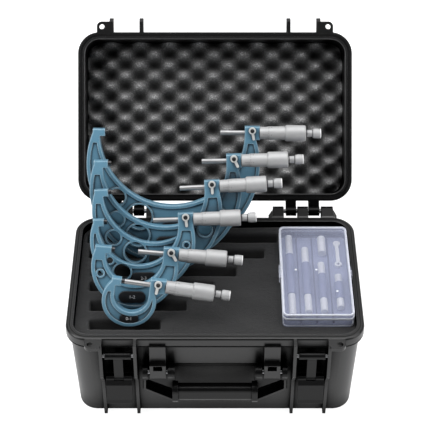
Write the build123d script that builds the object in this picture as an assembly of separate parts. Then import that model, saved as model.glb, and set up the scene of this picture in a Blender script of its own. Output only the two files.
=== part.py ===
"""Hinged equipment case with foam inlays, six outside micrometers and a box of setting standards.

Millimetres, +Z up, +Y towards the hinges. The origin is the centre of the base, on the table.
The case stands open, and the lid is modelled shut and then swung back to its stop.
"""

import os
from math import cos, radians, sin, sqrt

from build123d import *

os.makedirs("parts", exist_ok=True)

# ---- case: outside sizes
CASE_WIDTH = 320.0
CASE_DEPTH = 197.0
CASE_CORNER = 25.0
BASE_HEIGHT = 125.0
FLANGE_HEIGHT = 10.0
FLANGE_OVERHANG = 4.4
BOTTOM_ROUND = 5.0
FOOT_LENGTH = 10.0
FOOT_WIDTH = 8.0
SIDE_DRAFT = 4.2
FRONT_DRAFT = 6.6
BASE_WALL = 4.0
MOUTH_BAND = 7.2
SEAM = 0.3

# ---- lid
LID_HEIGHT = 57.5
LID_FLANGE = 8.0
LID_WALL = 3.0
LID_DRAFT = 1.5
LID_OPEN = 130.4
LID_FOAM_THICK = 22.0
LID_PANEL_HEIGHT = 1.2
LID_PANEL_MARGIN = 40.0
GASKET_WIDTH = 2.8
GASKET_DEPTH = 2.5
GASKET_INSET = 2.4

# ---- hinges
HINGE_BACK = 12.0
HINGE_DROP = 1.7
KNUCKLE_RADIUS = 5.5
HINGE_PIN_RADIUS = 2.5
FIXED_FIT = 0.05
TURNING_FIT = 0.1
BASE_KNUCKLES = ((67.6, 80.0), (96.2, 108.4), (123.7, 137.4))
LID_KNUCKLES = ((82.8, 94.8), (109.3, 121.8))
KNUCKLE_FLARE = 5.0
KNUCKLE_SHOULDER = 2.0
HINGE_PLATE_HEIGHT = 8.0
HINGE_PLATE_DEPTH = 5.5

# ---- padlock ears and guard fins
EAR_X = 132.2
EAR_REACH = 6.7
EAR_RADIUS = 5.8
EAR_THICK = 4.6
EAR_HOLE = 3.1
EAR_DROP = 0.5
FIN_X = (86.0, 121.0)
FIN_THICK = 4.6
FIN_REACH = 16.8
FIN_HEIGHT = 15.0

# ---- latch bays on the front
RIB_X = (85.0, 121.6)
RIB_THICK = 3.5
RIB_REACH = 9.5
RIB_FOOT_REACH = 5.0
RIB_SHOULDER_DROP = 49.0
RIB_WAIST_DROP = 67.0

# ---- latches
LATCH_WIDTH = 28.0
LATCH_DROP = 19.3
LATCH_PIVOT_OUT = 5.5
LATCH_LINK = 33.7
LATCH_PIN_RADIUS = 2.0
LATCH_BARREL_RADIUS = 4.0
LATCH_STEM_WIDTH = 10.0
LATCH_STEM_THICK = 5.0
LATCH_PLATE_THICK = 4.2
LATCH_PLATE_TOP = 5.6
LATCH_PLATE_DROP = 31.6
LATCH_PLATE_BEVEL = 1.6
LATCH_LIP = 2.0
LATCH_HOOK_THICK = 3.4
LATCH_HOOK_BITE = 2.7

# ---- handle
HANDLE_DROP = 45.0
HANDLE_PIVOT_OUT = 4.5
HANDLE_PIN_RADIUS = 2.5
HANDLE_EAR_RADIUS = 7.2
HANDLE_INNER = (43.2, 50.8)
HANDLE_OUTER = (72.2, 77.8)
HANDLE_PLATE_THICK = 6.5
HANDLE_GRIP_DROP = 31.5
HANDLE_GRIP_TALL = 20.0
HANDLE_GRIP_THICK = 13.0
HANDLE_GRIP_ROUND = 5.5
HANDLE_CHEEK = 2.2
HANDLE_CHEEK_THICK = 6.0
BRACKET = (52.6, 70.0)
BRACKET_OUT = 8.5
BRACKET_TOP_DROP = 32.5
BRACKET_BOTTOM_DROP = 51.4
STRAP_OUT = 3.0
WINDOW_WIDTH = 9.8
WINDOW_HEIGHT = 6.9
WINDOW_DEPTH = 7.0

# ---- handle recess, its outline along the front wall, measured down from the rim
RECESS_HALF_TOP = 75.0
RECESS_HALF_MID = 76.0
RECESS_HALF_LOW = 45.0
RECESS_TOP_DROP = 55.0
RECESS_MID_DROP = 85.0
RECESS_LOW_DROP = 105.0
RECESS_DEPTH = 10.5
RECESS_EDGE = 2.4
RECESS_EDGE_OUT = 1.4
SCOOP_RADIUS = 12.0
SCOOP_HALF = 46.0

# ---- base foam
FOAM_DROP = 8.0
FOAM_GAP = 0.4
SLOT_BACK = 5.3
SLOT_FRONT = 8.2
SLOT_SPARE = 1.5

# ---- micrometers: shared sizes
INCH = 25.4
FRAME_THICK = 10.0
BLOCK_LENGTH = 17.0
BLOCK_HALF = 7.5
SPINDLE_SHOWN = 27.4
BOSS_TOP = 3.6
BOSS_BOTTOM = 4.4
BOSS_TIP = 3.4
LEG_INSIDE = 9.0
ANVIL_RADIUS = 2.75
ANVIL_LENGTH = 10.0
SPINDLE_RADIUS = 2.75
FINE_FIT = 0.05
RIM_WIDTH = 4.2
POCKET_DEPTH = 1.7
POCKET_TOP = 12.0
EDGE_ROUND = 0.9
SLEEVE_RADIUS = 7.0
SLEEVE_SHOWN = 9.0
SLEEVE_LENGTH = 42.0
THIMBLE_BORE_FIT = 0.08
THIMBLE_FRONT_RADIUS = 7.6
THIMBLE_FRONT = 20.0
THIMBLE_GRIP_RADIUS = 9.0
THIMBLE_GRIP = 23.0
THIMBLE_CAP = 6.0
SPINDLE_SHORT = 3.5
RATCHET_STUB_RADIUS = 2.0
RATCHET_STUB = 3.0
RATCHET_NECK_RADIUS = 3.9
RATCHET_NECK = 7.8
RATCHET_RADIUS = 5.3
RATCHET_LENGTH = 9.4
LEVER_KNOB_RADIUS = 4.0
LEVER_RISE = 3.4
LEVER_KNOB_THICK = 3.0
LEVER_LENGTH = 11.0
LEVER_WIDTH = 3.0
LEVER_THICK = 2.4
LEVER_PIN_RADIUS = 1.5
LEVER_PIN = 1.9
RUNNING_GAP = 0.3

# ---- micrometers: one row each, from the smallest at the front to the largest at the back.
# lean is the slot's tilt back from upright, slot_y the slot at the foam's surface, anvil_in and
# anvil_rise the anvil face from the case's left side and up the slot, tilt the spindle's slope,
# and sink the way down into the foam, where the larger heads come to rest clear of the box of
# standards. slot_left and slot_right are the slot's ends from the case's left side. throat and
# web are the frame's depth and its depth of metal below the throat. bulge_left and bulge_right
# are how far the frame's curve reaches left of the anvil face and right of the spindle block's
# left face. lever is the lock lever's turn from straight down.
MICROMETERS = (
    dict(size=1, lean=24.0, slot_y=-66.2, anvil_in=63.6, anvil_rise=47.6, tilt=-8.3, sink=22.0,
         throat=32.5, web=17.0, bulge_left=21.8, bulge_right=9.2, lever=-5.0,
         slot_left=24.0, slot_right=101.5, holes=()),
    dict(size=2, lean=29.0, slot_y=-36.8, anvil_in=51.4, anvil_rise=60.9, tilt=-5.0, sink=39.0,
         throat=36.0, web=28.0, bulge_left=24.1, bulge_right=17.7, lever=35.0,
         slot_left=23.0, slot_right=129.2, holes=((-13.5, -26.5, 3.2),)),
    dict(size=3, lean=31.0, slot_y=-6.2, anvil_in=41.2, anvil_rise=70.5, tilt=1.8, sink=62.5,
         throat=49.0, web=31.0, bulge_left=19.4, bulge_right=18.5, lever=5.0,
         slot_left=20.5, slot_right=158.7,
         holes=((14.5, -56.0, 9.2), (1.5, -42.5, 3.5), (86.5, -28.0, 2.8))),
    dict(size=4, lean=31.0, slot_y=18.0, anvil_in=44.8, anvil_rise=88.1, tilt=3.0, sink=69.5,
         throat=59.0, web=37.0, bulge_left=22.7, bulge_right=18.5, lever=0.0,
         slot_left=20.5, slot_right=184.5,
         holes=((-0.5, -51.0, 7.8), (22.5, -69.0, 11.8), (101.5, -47.5, 7.2))),
    dict(size=5, lean=27.0, slot_y=46.5, anvil_in=43.7, anvil_rise=103.4, tilt=1.2, sink=75.5,
         throat=73.4, web=43.0, bulge_left=25.0, bulge_right=16.4, lever=25.0,
         slot_left=17.0, slot_right=216.2,
         holes=((4.0, -64.0, 8.2), (27.5, -83.0, 12.4), (118.0, -60.0, 7.0))),
    dict(size=6, lean=28.0, slot_y=73.0, anvil_in=39.2, anvil_rise=122.4, tilt=-0.5, sink=106.5,
         throat=84.0, web=51.6, bulge_left=24.6, bulge_right=17.6, lever=10.0,
         slot_left=13.0, slot_right=232.3,
         holes=((35.0, -97.5, 14.3), (9.0, -75.0, 9.8), (138.5, -78.0, 6.0))),
)

# ---- standards box, lying on the foam at the right
BOX_IN = 10.6
BOX_WIDE = 76.6
BOX_FRONT = -72.3
BOX_BACK = 69.9
TRAY_HEIGHT = 10.8
BOX_LID_HEIGHT = 7.0
BOX_WALL = 1.5
BOX_CORNER = 6.0
BOX_HINGE_RADIUS = 1.3
BOX_HINGE_PIN = 0.6
BOX_HINGE_HALF = 4.0
BOX_HINGE_SPAN = 9.0
BOX_CLASP_HALF = 10.0
BOX_CLASP_THICK = 1.2
BOX_CLASP_DROP = 4.5
DIVIDER_THICK = 1.2
DIVIDER_HEIGHT = 2.4
ROD_RADIUS = 4.0
ROD_GRIP_RADIUS = 4.7
ROD_GRIP_SHARE = 0.5
STANDARDS = ((11.2, 1.5, 5.0), (28.7, -6.0, 4.0), (45.8, -18.0, 3.0), (63.7, -24.5, 2.0))
DISC_IN = 48.2
DISC_Y = 50.0
DISC_RADIUS = 4.6
SPANNER_IN = 65.7
SPANNER_Y = 40.0
SPANNER_LENGTH = 42.0
SPANNER_WIDTH = 4.0
SPANNER_HEAD_RADIUS = 4.0
SPANNER_THICK = 2.5
SPANNER_HOLE = 1.8

# ---- worked out from the sizes above
FRONT = -CASE_DEPTH / 2
LEFT = -CASE_WIDTH / 2
BACK = CASE_DEPTH / 2
BOX_RIGHT = CASE_WIDTH / 2 - BOX_IN
BOX_LEFT = BOX_RIGHT - BOX_WIDE
RODS = tuple((BOX_LEFT + x, y, inches) for x, y, inches in STANDARDS)
DISC_X = BOX_LEFT + DISC_IN
SPANNER_X = BOX_LEFT + SPANNER_IN
UNDER_FLANGE = BASE_HEIGHT - FLANGE_HEIGHT
WALL_HALF_X = CASE_WIDTH / 2 - FLANGE_OVERHANG
WALL_HALF_Y = CASE_DEPTH / 2 - FLANGE_OVERHANG
WALL_CORNER = CASE_CORNER - FLANGE_OVERHANG
FOOT_HALF_X = WALL_HALF_X - SIDE_DRAFT
FOOT_HALF_Y = WALL_HALF_Y - FRONT_DRAFT
HINGE_Y = BACK + HINGE_BACK
HINGE_Z = BASE_HEIGHT - HINGE_DROP
LID_BOTTOM = BASE_HEIGHT + SEAM
LID_TOP = LID_BOTTOM + LID_HEIGHT
FOAM_TOP = BASE_HEIGHT - FOAM_DROP
LATCH_Y = FRONT - LATCH_PIVOT_OUT
LATCH_PIVOT_Z = BASE_HEIGHT - LATCH_DROP
RIB_SHOULDER = BASE_HEIGHT - RIB_SHOULDER_DROP
RIB_WAIST = BASE_HEIGHT - RIB_WAIST_DROP
LATCH_X = sum(RIB_X) / 2
HANDLE_Y = FRONT - HANDLE_PIVOT_OUT
HANDLE_PIVOT_Z = BASE_HEIGHT - HANDLE_DROP
BRACKET_TOP = BASE_HEIGHT - BRACKET_TOP_DROP
BRACKET_BOTTOM = BASE_HEIGHT - BRACKET_BOTTOM_DROP
RECESS_TOP = BASE_HEIGHT - RECESS_TOP_DROP
RECESS_MID = BASE_HEIGHT - RECESS_MID_DROP
RECESS_LOW = BASE_HEIGHT - RECESS_LOW_DROP
FRONT_SLOPE = FRONT_DRAFT / UNDER_FLANGE


def wallFront(z):
    """The front wall's outer face at height z."""
    return -FOOT_HALF_Y - FRONT_SLOPE * z


def brick(x0, x1, y0, y1, z0, z1):
    """A box between two corners."""
    middle = Pos((x0 + x1) / 2, (y0 + y1) / 2, (z0 + z1) / 2)
    return middle * Box(abs(x1 - x0), abs(y1 - y0), abs(z1 - z0))


def rodX(x0, x1, y, z, radius):
    """A cylinder along X."""
    return Pos((x0 + x1) / 2, y, z) * Rot(0, 90, 0) * Cylinder(radius, abs(x1 - x0))


def rodY(y0, y1, x, z, radius):
    """A cylinder along Y."""
    return Pos(x, (y0 + y1) / 2, z) * Rot(90, 0, 0) * Cylinder(radius, abs(y1 - y0))


def rodZ(z0, z1, x, y, radius):
    """A cylinder along Z."""
    return Pos(x, y, (z0 + z1) / 2) * Cylinder(radius, abs(z1 - z0))


def plateYZ(points, x0, x1):
    """A plate with a side outline in (y, z), from x0 to x1."""
    outline = Plane.YZ * Polygon(*points, align=None)
    return Pos(x0, 0, 0) * extrude(outline, x1 - x0, dir=(1, 0, 0))


def slab(halfX, halfY, corner, z0, z1):
    """An upright slab with rounded corners."""
    return Pos(0, 0, z0) * extrude(RectangleRounded(2 * halfX, 2 * halfY, corner), z1 - z0)


def tub(low, high, z0, z1):
    """A slab whose sides slope from one (halfX, halfY, corner) to another."""
    bottom = Pos(0, 0, z0) * RectangleRounded(2 * low[0], 2 * low[1], low[2])
    top = Pos(0, 0, z1) * RectangleRounded(2 * high[0], 2 * high[1], high[2])
    return loft([bottom, top])


def inset(sides, amount):
    """(halfX, halfY, corner) moved in on every side."""
    return tuple(value - amount for value in sides)


def save(node, *solids):
    """Writes one node, of one solid or of several separate ones."""
    shape = solids[0] if len(solids) == 1 else Compound(children=list(solids))
    export_step(shape, f"parts/{node}.step")


def mirrored(solid):
    """The same solid on the case's other side."""
    return mirror(solid, about=Plane.YZ)


# ---- base shell
LOW_SIDES = (FOOT_HALF_X, FOOT_HALF_Y, WALL_CORNER)
HIGH_SIDES = (WALL_HALF_X, WALL_HALF_Y, WALL_CORNER)
MOUTH_SIDES = inset((CASE_WIDTH / 2, CASE_DEPTH / 2, CASE_CORNER), MOUTH_BAND)


def frontPlane():
    """A plane on the sloping front wall: x to the right, y up the wall, z outwards."""
    return Plane(origin=(0, wallFront(0), 0), x_dir=(1, 0, 0), z_dir=(0, -1, -FRONT_SLOPE))


def recessOutline(grow):
    """The handle recess's outline along the front wall, a hexagon grown on every side."""
    half = [
        (RECESS_HALF_LOW + grow / 2, RECESS_LOW - grow),
        (RECESS_HALF_MID + grow, RECESS_MID - grow / 2),
        (RECESS_HALF_TOP + grow, RECESS_TOP),
    ]
    return Polygon(*half, *[(-x, y) for x, y in reversed(half)], align=None)


def scoop(grow):
    """The round top of the recess, where fingers go behind the grip."""
    half = SCOOP_HALF + grow
    return rodX(-half, half, wallFront(RECESS_TOP), RECESS_TOP, SCOOP_RADIUS + grow)


def recess(grow):
    """The space of the handle recess, grown on every side."""
    depth = RECESS_DEPTH + grow
    pocket = frontPlane() * Pos(0, 0, -depth) * extrude(recessOutline(grow), depth + 20)
    return pocket + scoop(grow)


def latchRib(x):
    """An upright rib beside a latch, from the flange down to its foot."""
    top = BASE_HEIGHT - EAR_DROP
    out = FRONT - RIB_REACH
    low = wallFront(0) - RIB_FOOT_REACH
    waist = wallFront(RIB_WAIST) - RIB_FOOT_REACH
    inner = wallFront(0) + 2
    points = [(inner, 0), (low, 0), (waist, RIB_WAIST), (out, RIB_SHOULDER), (out, top), (inner, top)]
    return plateYZ(points, x - RIB_THICK / 2, x + RIB_THICK / 2)


def baseKnuckles():
    """One hinge's three knuckles with sloping outer sides, and the plate below them."""
    inner = BACK - FLANGE_OVERHANG - 1
    plateTop = HINGE_Z - KNUCKLE_RADIUS - 1
    plateBottom = plateTop - HINGE_PLATE_HEIGHT
    low = BASE_KNUCKLES[0][0] - KNUCKLE_FLARE
    high = BASE_KNUCKLES[-1][1] + KNUCKLE_FLARE
    parts = brick(low, high, inner, BACK + HINGE_PLATE_DEPTH, plateBottom, plateTop)
    for x0, x1 in BASE_KNUCKLES:
        side = [
            (inner, plateBottom),
            (BACK + HINGE_PLATE_DEPTH, plateBottom),
            (HINGE_Y + KNUCKLE_RADIUS * cos(radians(20)), HINGE_Z - KNUCKLE_RADIUS * sin(radians(20))),
            (HINGE_Y, HINGE_Z + KNUCKLE_RADIUS),
            (BACK - 1, BASE_HEIGHT),
            (inner, BASE_HEIGHT - 2),
        ]
        parts += plateYZ(side, x0, x1)
        parts += rodX(x0, x1, HINGE_Y, HINGE_Z, KNUCKLE_RADIUS)
    left, right = BASE_KNUCKLES[0][0], BASE_KNUCKLES[-1][1]
    shoulder = HINGE_Z + KNUCKLE_RADIUS - KNUCKLE_SHOULDER
    slopes = [(low, plateTop), (high, plateTop), (right, shoulder), (left, shoulder)]
    sides = Pos(0, inner, 0) * extrude(Plane.XZ * Polygon(*slopes, align=None), inner - HINGE_Y)
    middle = brick(left + 1, right - 1, inner, HINGE_Y, plateTop, shoulder)
    return parts + ((sides - middle) & plateYZ(side, low, high))


def handleBracket():
    """The strap and block that carry one end of the handle."""
    x0, x1 = BRACKET
    inner = wallFront(BRACKET_BOTTOM) + 2
    block = brick(x0, x1, inner, FRONT - BRACKET_OUT, BRACKET_BOTTOM, BRACKET_TOP)
    strap = brick(x0, x1, wallFront(UNDER_FLANGE) + 2, FRONT - STRAP_OUT, BRACKET_TOP, UNDER_FLANGE + 1)
    middle = (x0 + x1) / 2
    windowTop = BRACKET_TOP - 0.6
    window = brick(
        middle - WINDOW_WIDTH / 2,
        middle + WINDOW_WIDTH / 2,
        FRONT - BRACKET_OUT - 1,
        FRONT - BRACKET_OUT + WINDOW_DEPTH,
        windowTop - WINDOW_HEIGHT,
        windowTop,
    )
    return block + strap - window


def padlockTab(ribX, z0, z1):
    """A round-nosed tab with an upright padlock hole, on the right, joined to the rib at ribX."""
    y = FRONT - EAR_REACH
    nose = rodZ(z0, z1, EAR_X, y, EAR_RADIUS)
    root = brick(ribX, EAR_X + EAR_RADIUS, y, FRONT + 2, z0, z1)
    web = brick(ribX, EAR_X, y - EAR_RADIUS, y, z0, z1)
    return nose + root + web - rodZ(z0 - 1, z1 + 1, EAR_X, y, EAR_HOLE)


def baseShell():
    """The lower half of the case."""
    body = tub(LOW_SIDES, HIGH_SIDES, 0, UNDER_FLANGE)
    body = fillet(body.edges().group_by(Axis.Z)[0], BOTTOM_ROUND)
    flange = slab(CASE_WIDTH / 2, CASE_DEPTH / 2, CASE_CORNER, UNDER_FLANGE, BASE_HEIGHT)
    flange = fillet(flange.edges().group_by(Axis.Z)[-1], 2.5)
    shell = body + flange
    edge = frontPlane() * Pos(0, 0, -1) * extrude(recessOutline(RECESS_EDGE), 1 + RECESS_EDGE_OUT)
    shell += edge & brick(-CASE_WIDTH, CASE_WIDTH, 2 * FRONT, 0, 0, RECESS_TOP)
    for x in RIB_X:
        rib = latchRib(x)
        side = FOOT_WIDTH / 2
        foot = brick(x - side, x + side, FOOT_HALF_Y - FOOT_LENGTH, FOOT_HALF_Y, 0, BOTTOM_ROUND)
        shell += rib + mirrored(rib) + foot + mirrored(foot)
    tabTop = BASE_HEIGHT - EAR_DROP
    tab = padlockTab(RIB_X[1], tabTop - EAR_THICK, tabTop)
    hinge = baseKnuckles()
    bracket = handleBracket()
    shell += tab + mirrored(tab) + hinge + mirrored(hinge) + bracket + mirrored(bracket)
    floor = BASE_WALL
    innerLow = inset(LOW_SIDES, BASE_WALL)
    innerHigh = inset(HIGH_SIDES, BASE_WALL)
    cavity = tub(innerLow, innerHigh, floor, UNDER_FLANGE)
    cavity += slab(*MOUTH_SIDES, UNDER_FLANGE, BASE_HEIGHT + 1)
    cavity -= recess(BASE_WALL)
    shell -= cavity
    shell -= recess(0)
    for side in (-1, 1):
        x0 = side * (BASE_KNUCKLES[0][0] - 1)
        x1 = side * (BASE_KNUCKLES[-1][1] + 1)
        shell -= rodX(x0, x1, HINGE_Y, HINGE_Z, HINGE_PIN_RADIUS + FIXED_FIT)
        r0 = side * (RIB_X[0] - RIB_THICK)
        r1 = side * (RIB_X[1] + RIB_THICK)
        shell -= rodX(r0, r1, LATCH_Y, LATCH_PIVOT_Z, LATCH_PIN_RADIUS + FIXED_FIT)
        b0 = side * (BRACKET[0] - 1)
        b1 = side * (BRACKET[1] + 1)
        shell -= rodX(b0, b1, HANDLE_Y, HANDLE_PIVOT_Z, HANDLE_PIN_RADIUS + FIXED_FIT)
    return shell


save("base_shell", baseShell())


# ---- lid, modelled shut
def opened(shape):
    """A lid piece swung back from shut to its open stop."""
    return Pos(0, HINGE_Y, HINGE_Z) * Rot(-LID_OPEN, 0, 0) * Pos(0, -HINGE_Y, -HINGE_Z) * shape


def lidArms():
    """One hinge's two arms, from the lid's flange to the pin."""
    side = [
        (BACK - 1, LID_BOTTOM),
        (HINGE_Y - KNUCKLE_RADIUS, LID_BOTTOM),
        (HINGE_Y, HINGE_Z),
        (HINGE_Y + KNUCKLE_RADIUS * cos(radians(45)), HINGE_Z + KNUCKLE_RADIUS * sin(radians(45))),
        (BACK - 1, LID_BOTTOM + LID_FLANGE),
    ]
    arms = Part()
    for x0, x1 in LID_KNUCKLES:
        arms += plateYZ(side, x0, x1) + rodX(x0, x1, HINGE_Y, HINGE_Z, KNUCKLE_RADIUS)
    boreRadius = HINGE_PIN_RADIUS + TURNING_FIT
    return arms - rodX(LID_KNUCKLES[0][0] - 1, LID_KNUCKLES[-1][1] + 1, HINGE_Y, HINGE_Z, boreRadius)


def guardFin(x):
    """A fin that shields the shut latch."""
    z1 = LID_BOTTOM + FIN_HEIGHT
    inner = FRONT + FLANGE_OVERHANG + 1
    out = FRONT - FIN_REACH
    nose = 4.0
    low = LID_BOTTOM
    side = [(inner, low), (out + nose, low), (out, low + nose), (out, z1 - nose), (inner, z1)]
    return plateYZ(side, x - FIN_THICK / 2, x + FIN_THICK / 2)


def lidShell():
    """The lid, shut on the base."""
    flange = slab(CASE_WIDTH / 2, CASE_DEPTH / 2, CASE_CORNER, LID_BOTTOM, LID_BOTTOM + LID_FLANGE)
    flange = fillet(flange.edges().group_by(Axis.Z)[-1], 2.0)
    outer = inset(MOUTH_SIDES, -LID_WALL)
    body = tub(outer, inset(outer, LID_DRAFT), LID_BOTTOM + 1, LID_TOP)
    body = fillet(body.edges().group_by(Axis.Z)[-1], 4.0)
    panel = slab(
        CASE_WIDTH / 2 - LID_PANEL_MARGIN,
        CASE_DEPTH / 2 - LID_PANEL_MARGIN,
        CASE_CORNER / 2,
        LID_TOP - 1,
        LID_TOP + LID_PANEL_HEIGHT,
    )
    shell = flange + body + panel
    tab = padlockTab(FIN_X[1], LID_BOTTOM, LID_BOTTOM + EAR_THICK)
    arms = lidArms()
    shell += tab + mirrored(tab) + arms + mirrored(arms)
    for x in FIN_X:
        fin = guardFin(x)
        shell += fin + mirrored(fin)
    ceiling = LID_TOP - LID_WALL - 0.5
    cavity = tub(MOUTH_SIDES, inset(MOUTH_SIDES, LID_DRAFT), LID_BOTTOM, ceiling)
    mouth = slab(*MOUTH_SIDES, LID_BOTTOM - 1, LID_BOTTOM)
    groove = gasketRing(0, LID_BOTTOM - 1, LID_BOTTOM + GASKET_DEPTH)
    return shell - cavity - mouth - groove


def gasketRing(fit, z0, z1):
    """The ring that the lid's seal fills, less a fit on each side."""
    outer = inset((CASE_WIDTH / 2, CASE_DEPTH / 2, CASE_CORNER), GASKET_INSET + fit)
    inner = inset((CASE_WIDTH / 2, CASE_DEPTH / 2, CASE_CORNER), GASKET_INSET + GASKET_WIDTH - fit)
    return slab(*outer, z0, z1) - slab(*inner, z0 - 1, z1 + 1)


LID_FOAM_BOTTOM = LID_TOP - LID_WALL - 0.5 - LID_FOAM_THICK - FINE_FIT


def lidFoam():
    """The lid's foam sheet, as a plain slab up to its peaks."""
    sides = inset(MOUTH_SIDES, LID_DRAFT + FOAM_GAP)
    return slab(*sides, LID_FOAM_BOTTOM, LID_FOAM_BOTTOM + LID_FOAM_THICK)


save("lid_shell", opened(lidShell()))
save("lid_gasket", opened(gasketRing(FINE_FIT, LID_BOTTOM - 0.15, LID_BOTTOM + GASKET_DEPTH - FINE_FIT)))
save("lid_foam", opened(lidFoam()))


# ---- pins of the hinges, latches and handle
def pinPair(inner, outer, y, z, radius):
    """The same pin on both sides of the case."""
    pin = rodX(inner, outer, y, z, radius)
    return pin, mirrored(pin)


PIN_INNER = BASE_KNUCKLES[0][0]
PIN_OUTER = BASE_KNUCKLES[-1][1]
save("hinge_pins", *pinPair(PIN_INNER, PIN_OUTER, HINGE_Y, HINGE_Z, HINGE_PIN_RADIUS))
RIB_OUTER = RIB_X[1] + RIB_THICK / 2
RIB_INNER = RIB_X[0] - RIB_THICK / 2
save("latch_pins", *pinPair(RIB_INNER, RIB_OUTER, LATCH_Y, LATCH_PIVOT_Z, LATCH_PIN_RADIUS))
GRIP_PIN_INNER = HANDLE_INNER[0] + 1
GRIP_PIN_OUTER = HANDLE_OUTER[1] - 1
save("handle_pins", *pinPair(GRIP_PIN_INNER, GRIP_PIN_OUTER, HANDLE_Y, HANDLE_PIVOT_Z, HANDLE_PIN_RADIUS))


# ---- latches, hanging open
LEVER_PIVOT_Z = LATCH_PIVOT_Z - LATCH_LINK


def latchLink(x):
    """The T-shaped link between the case's pin and the lever."""
    half = LATCH_WIDTH / 2
    bar = rodX(x - half, x + half, LATCH_Y, LATCH_PIVOT_Z, LATCH_BARREL_RADIUS)
    stemHalf = LATCH_STEM_WIDTH / 2
    thick = LATCH_STEM_THICK / 2
    stem = brick(x - stemHalf, x + stemHalf, LATCH_Y - thick, LATCH_Y + thick, LEVER_PIVOT_Z, LATCH_PIVOT_Z)
    eye = rodX(x - stemHalf, x + stemHalf, LATCH_Y, LEVER_PIVOT_Z, LATCH_BARREL_RADIUS - 0.5)
    bore = rodX(x - half - 1, x + half + 1, LATCH_Y, LATCH_PIVOT_Z, LATCH_PIN_RADIUS + TURNING_FIT)
    eyeBore = rodX(x - half - 1, x + half + 1, LATCH_Y, LEVER_PIVOT_Z, LATCH_PIN_RADIUS + TURNING_FIT)
    return bar + stem + eye - bore - eyeBore


def latchLever(x):
    """The lever that hooks over the lid's flange and folds down over the link."""
    half = LATCH_WIDTH / 2
    reach = LATCH_STEM_THICK / 2 + SEAM
    back = LATCH_Y - reach
    face = back - LATCH_PLATE_THICK
    top = LEVER_PIVOT_Z - LATCH_PLATE_TOP
    bottom = LEVER_PIVOT_Z - LATCH_PLATE_DROP
    crest = LEVER_PIVOT_Z + LATCH_BARREL_RADIUS
    hookTop = BASE_HEIGHT + SEAM + LID_FLANGE + SEAM + LATCH_HOOK_THICK - 2 * LATCH_LINK
    hookTip = FRONT + LATCH_HOOK_BITE
    plate = [
        (back, bottom + LATCH_PLATE_BEVEL),
        (back - LATCH_PLATE_BEVEL, bottom),
        (face - LATCH_LIP, bottom - 0.5),
        (face - LATCH_LIP / 2, bottom + 4),
        (face, top),
        (LATCH_Y - 2, crest),
        (LATCH_Y, crest),
        (back, top),
    ]
    hook = [
        (LATCH_Y, hookTop),
        (hookTip, hookTop),
        (hookTip, hookTop - LATCH_HOOK_THICK),
        (LATCH_Y, hookTop - LATCH_HOOK_THICK),
    ]
    lever = plateYZ(plate, x - half, x + half) + plateYZ(hook, x - half, x + half)
    lever += rodX(x - half, x + half, LATCH_Y, LEVER_PIVOT_Z, LATCH_BARREL_RADIUS)
    slotHalf = LATCH_STEM_WIDTH / 2 + SEAM
    lever -= brick(x - slotHalf, x + slotHalf, back, hookTip + 1, top - 6, crest + 1)
    lever -= rodX(x - slotHalf, x + slotHalf, LATCH_Y, LEVER_PIVOT_Z, LATCH_BARREL_RADIUS + SEAM)
    pin = rodX(x - slotHalf - 4, x + slotHalf + 4, LATCH_Y, LEVER_PIVOT_Z, LATCH_PIN_RADIUS)
    return lever + pin


for word, x in (("left", -LATCH_X), ("right", LATCH_X)):
    save(f"latch_link_{word}", latchLink(x))
    save(f"latch_lever_{word}", latchLever(x))


# ---- handle, folded down
def handle():
    """The grip with its two forked arms."""
    gripZ = HANDLE_PIVOT_Z - HANDLE_GRIP_DROP
    low = HANDLE_PIVOT_Z - HANDLE_EAR_RADIUS - 1.6
    half = HANDLE_PLATE_THICK / 2
    outline = [
        (HANDLE_INNER[0], low),
        (HANDLE_OUTER[1], low),
        (HANDLE_OUTER[1], low - 4),
        (HANDLE_INNER[0] + 4, gripZ + 2),
        (HANDLE_INNER[0] + 2, gripZ - 8),
        (HANDLE_INNER[0], gripZ - 8),
    ]
    face = Plane.XZ * Polygon(*outline, align=None)
    arm = Pos(0, HANDLE_Y + half, 0) * extrude(face, HANDLE_PLATE_THICK)
    for x0, x1 in (HANDLE_INNER, HANDLE_OUTER):
        ear = rodX(x0, x1, HANDLE_Y, HANDLE_PIVOT_Z, HANDLE_EAR_RADIUS)
        neck = brick(x0, x1, HANDLE_Y - half, HANDLE_Y + half, low - 1, HANDLE_PIVOT_Z)
        arm += ear + neck
    cheekSize = (HANDLE_GRIP_THICK + 2 * HANDLE_CHEEK, HANDLE_GRIP_TALL + 2 * HANDLE_CHEEK)
    cheek = Plane.YZ * RectangleRounded(*cheekSize, HANDLE_GRIP_ROUND + HANDLE_CHEEK)
    arm += Pos(HANDLE_INNER[0] - 3, HANDLE_Y, gripZ) * extrude(cheek, HANDLE_CHEEK_THICK)
    boreRadius = HANDLE_PIN_RADIUS + TURNING_FIT
    arm -= rodX(HANDLE_INNER[0] - 9, HANDLE_OUTER[1] + 1, HANDLE_Y, HANDLE_PIVOT_Z, boreRadius)
    grip = Plane.YZ * RectangleRounded(HANDLE_GRIP_THICK, HANDLE_GRIP_TALL, HANDLE_GRIP_ROUND)
    bar = Pos(-HANDLE_INNER[0], HANDLE_Y, gripZ) * extrude(grip, 2 * HANDLE_INNER[0])
    return bar + arm + mirrored(arm)


save("handle", handle())


# ---- micrometers
def ringX(x0, x1, radius, bore):
    """A tube along a micrometer's spindle axis."""
    return rodX(x0, x1, 0, 0, radius) - rodX(x0 - 1, x1 + 1, 0, 0, bore)


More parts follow.
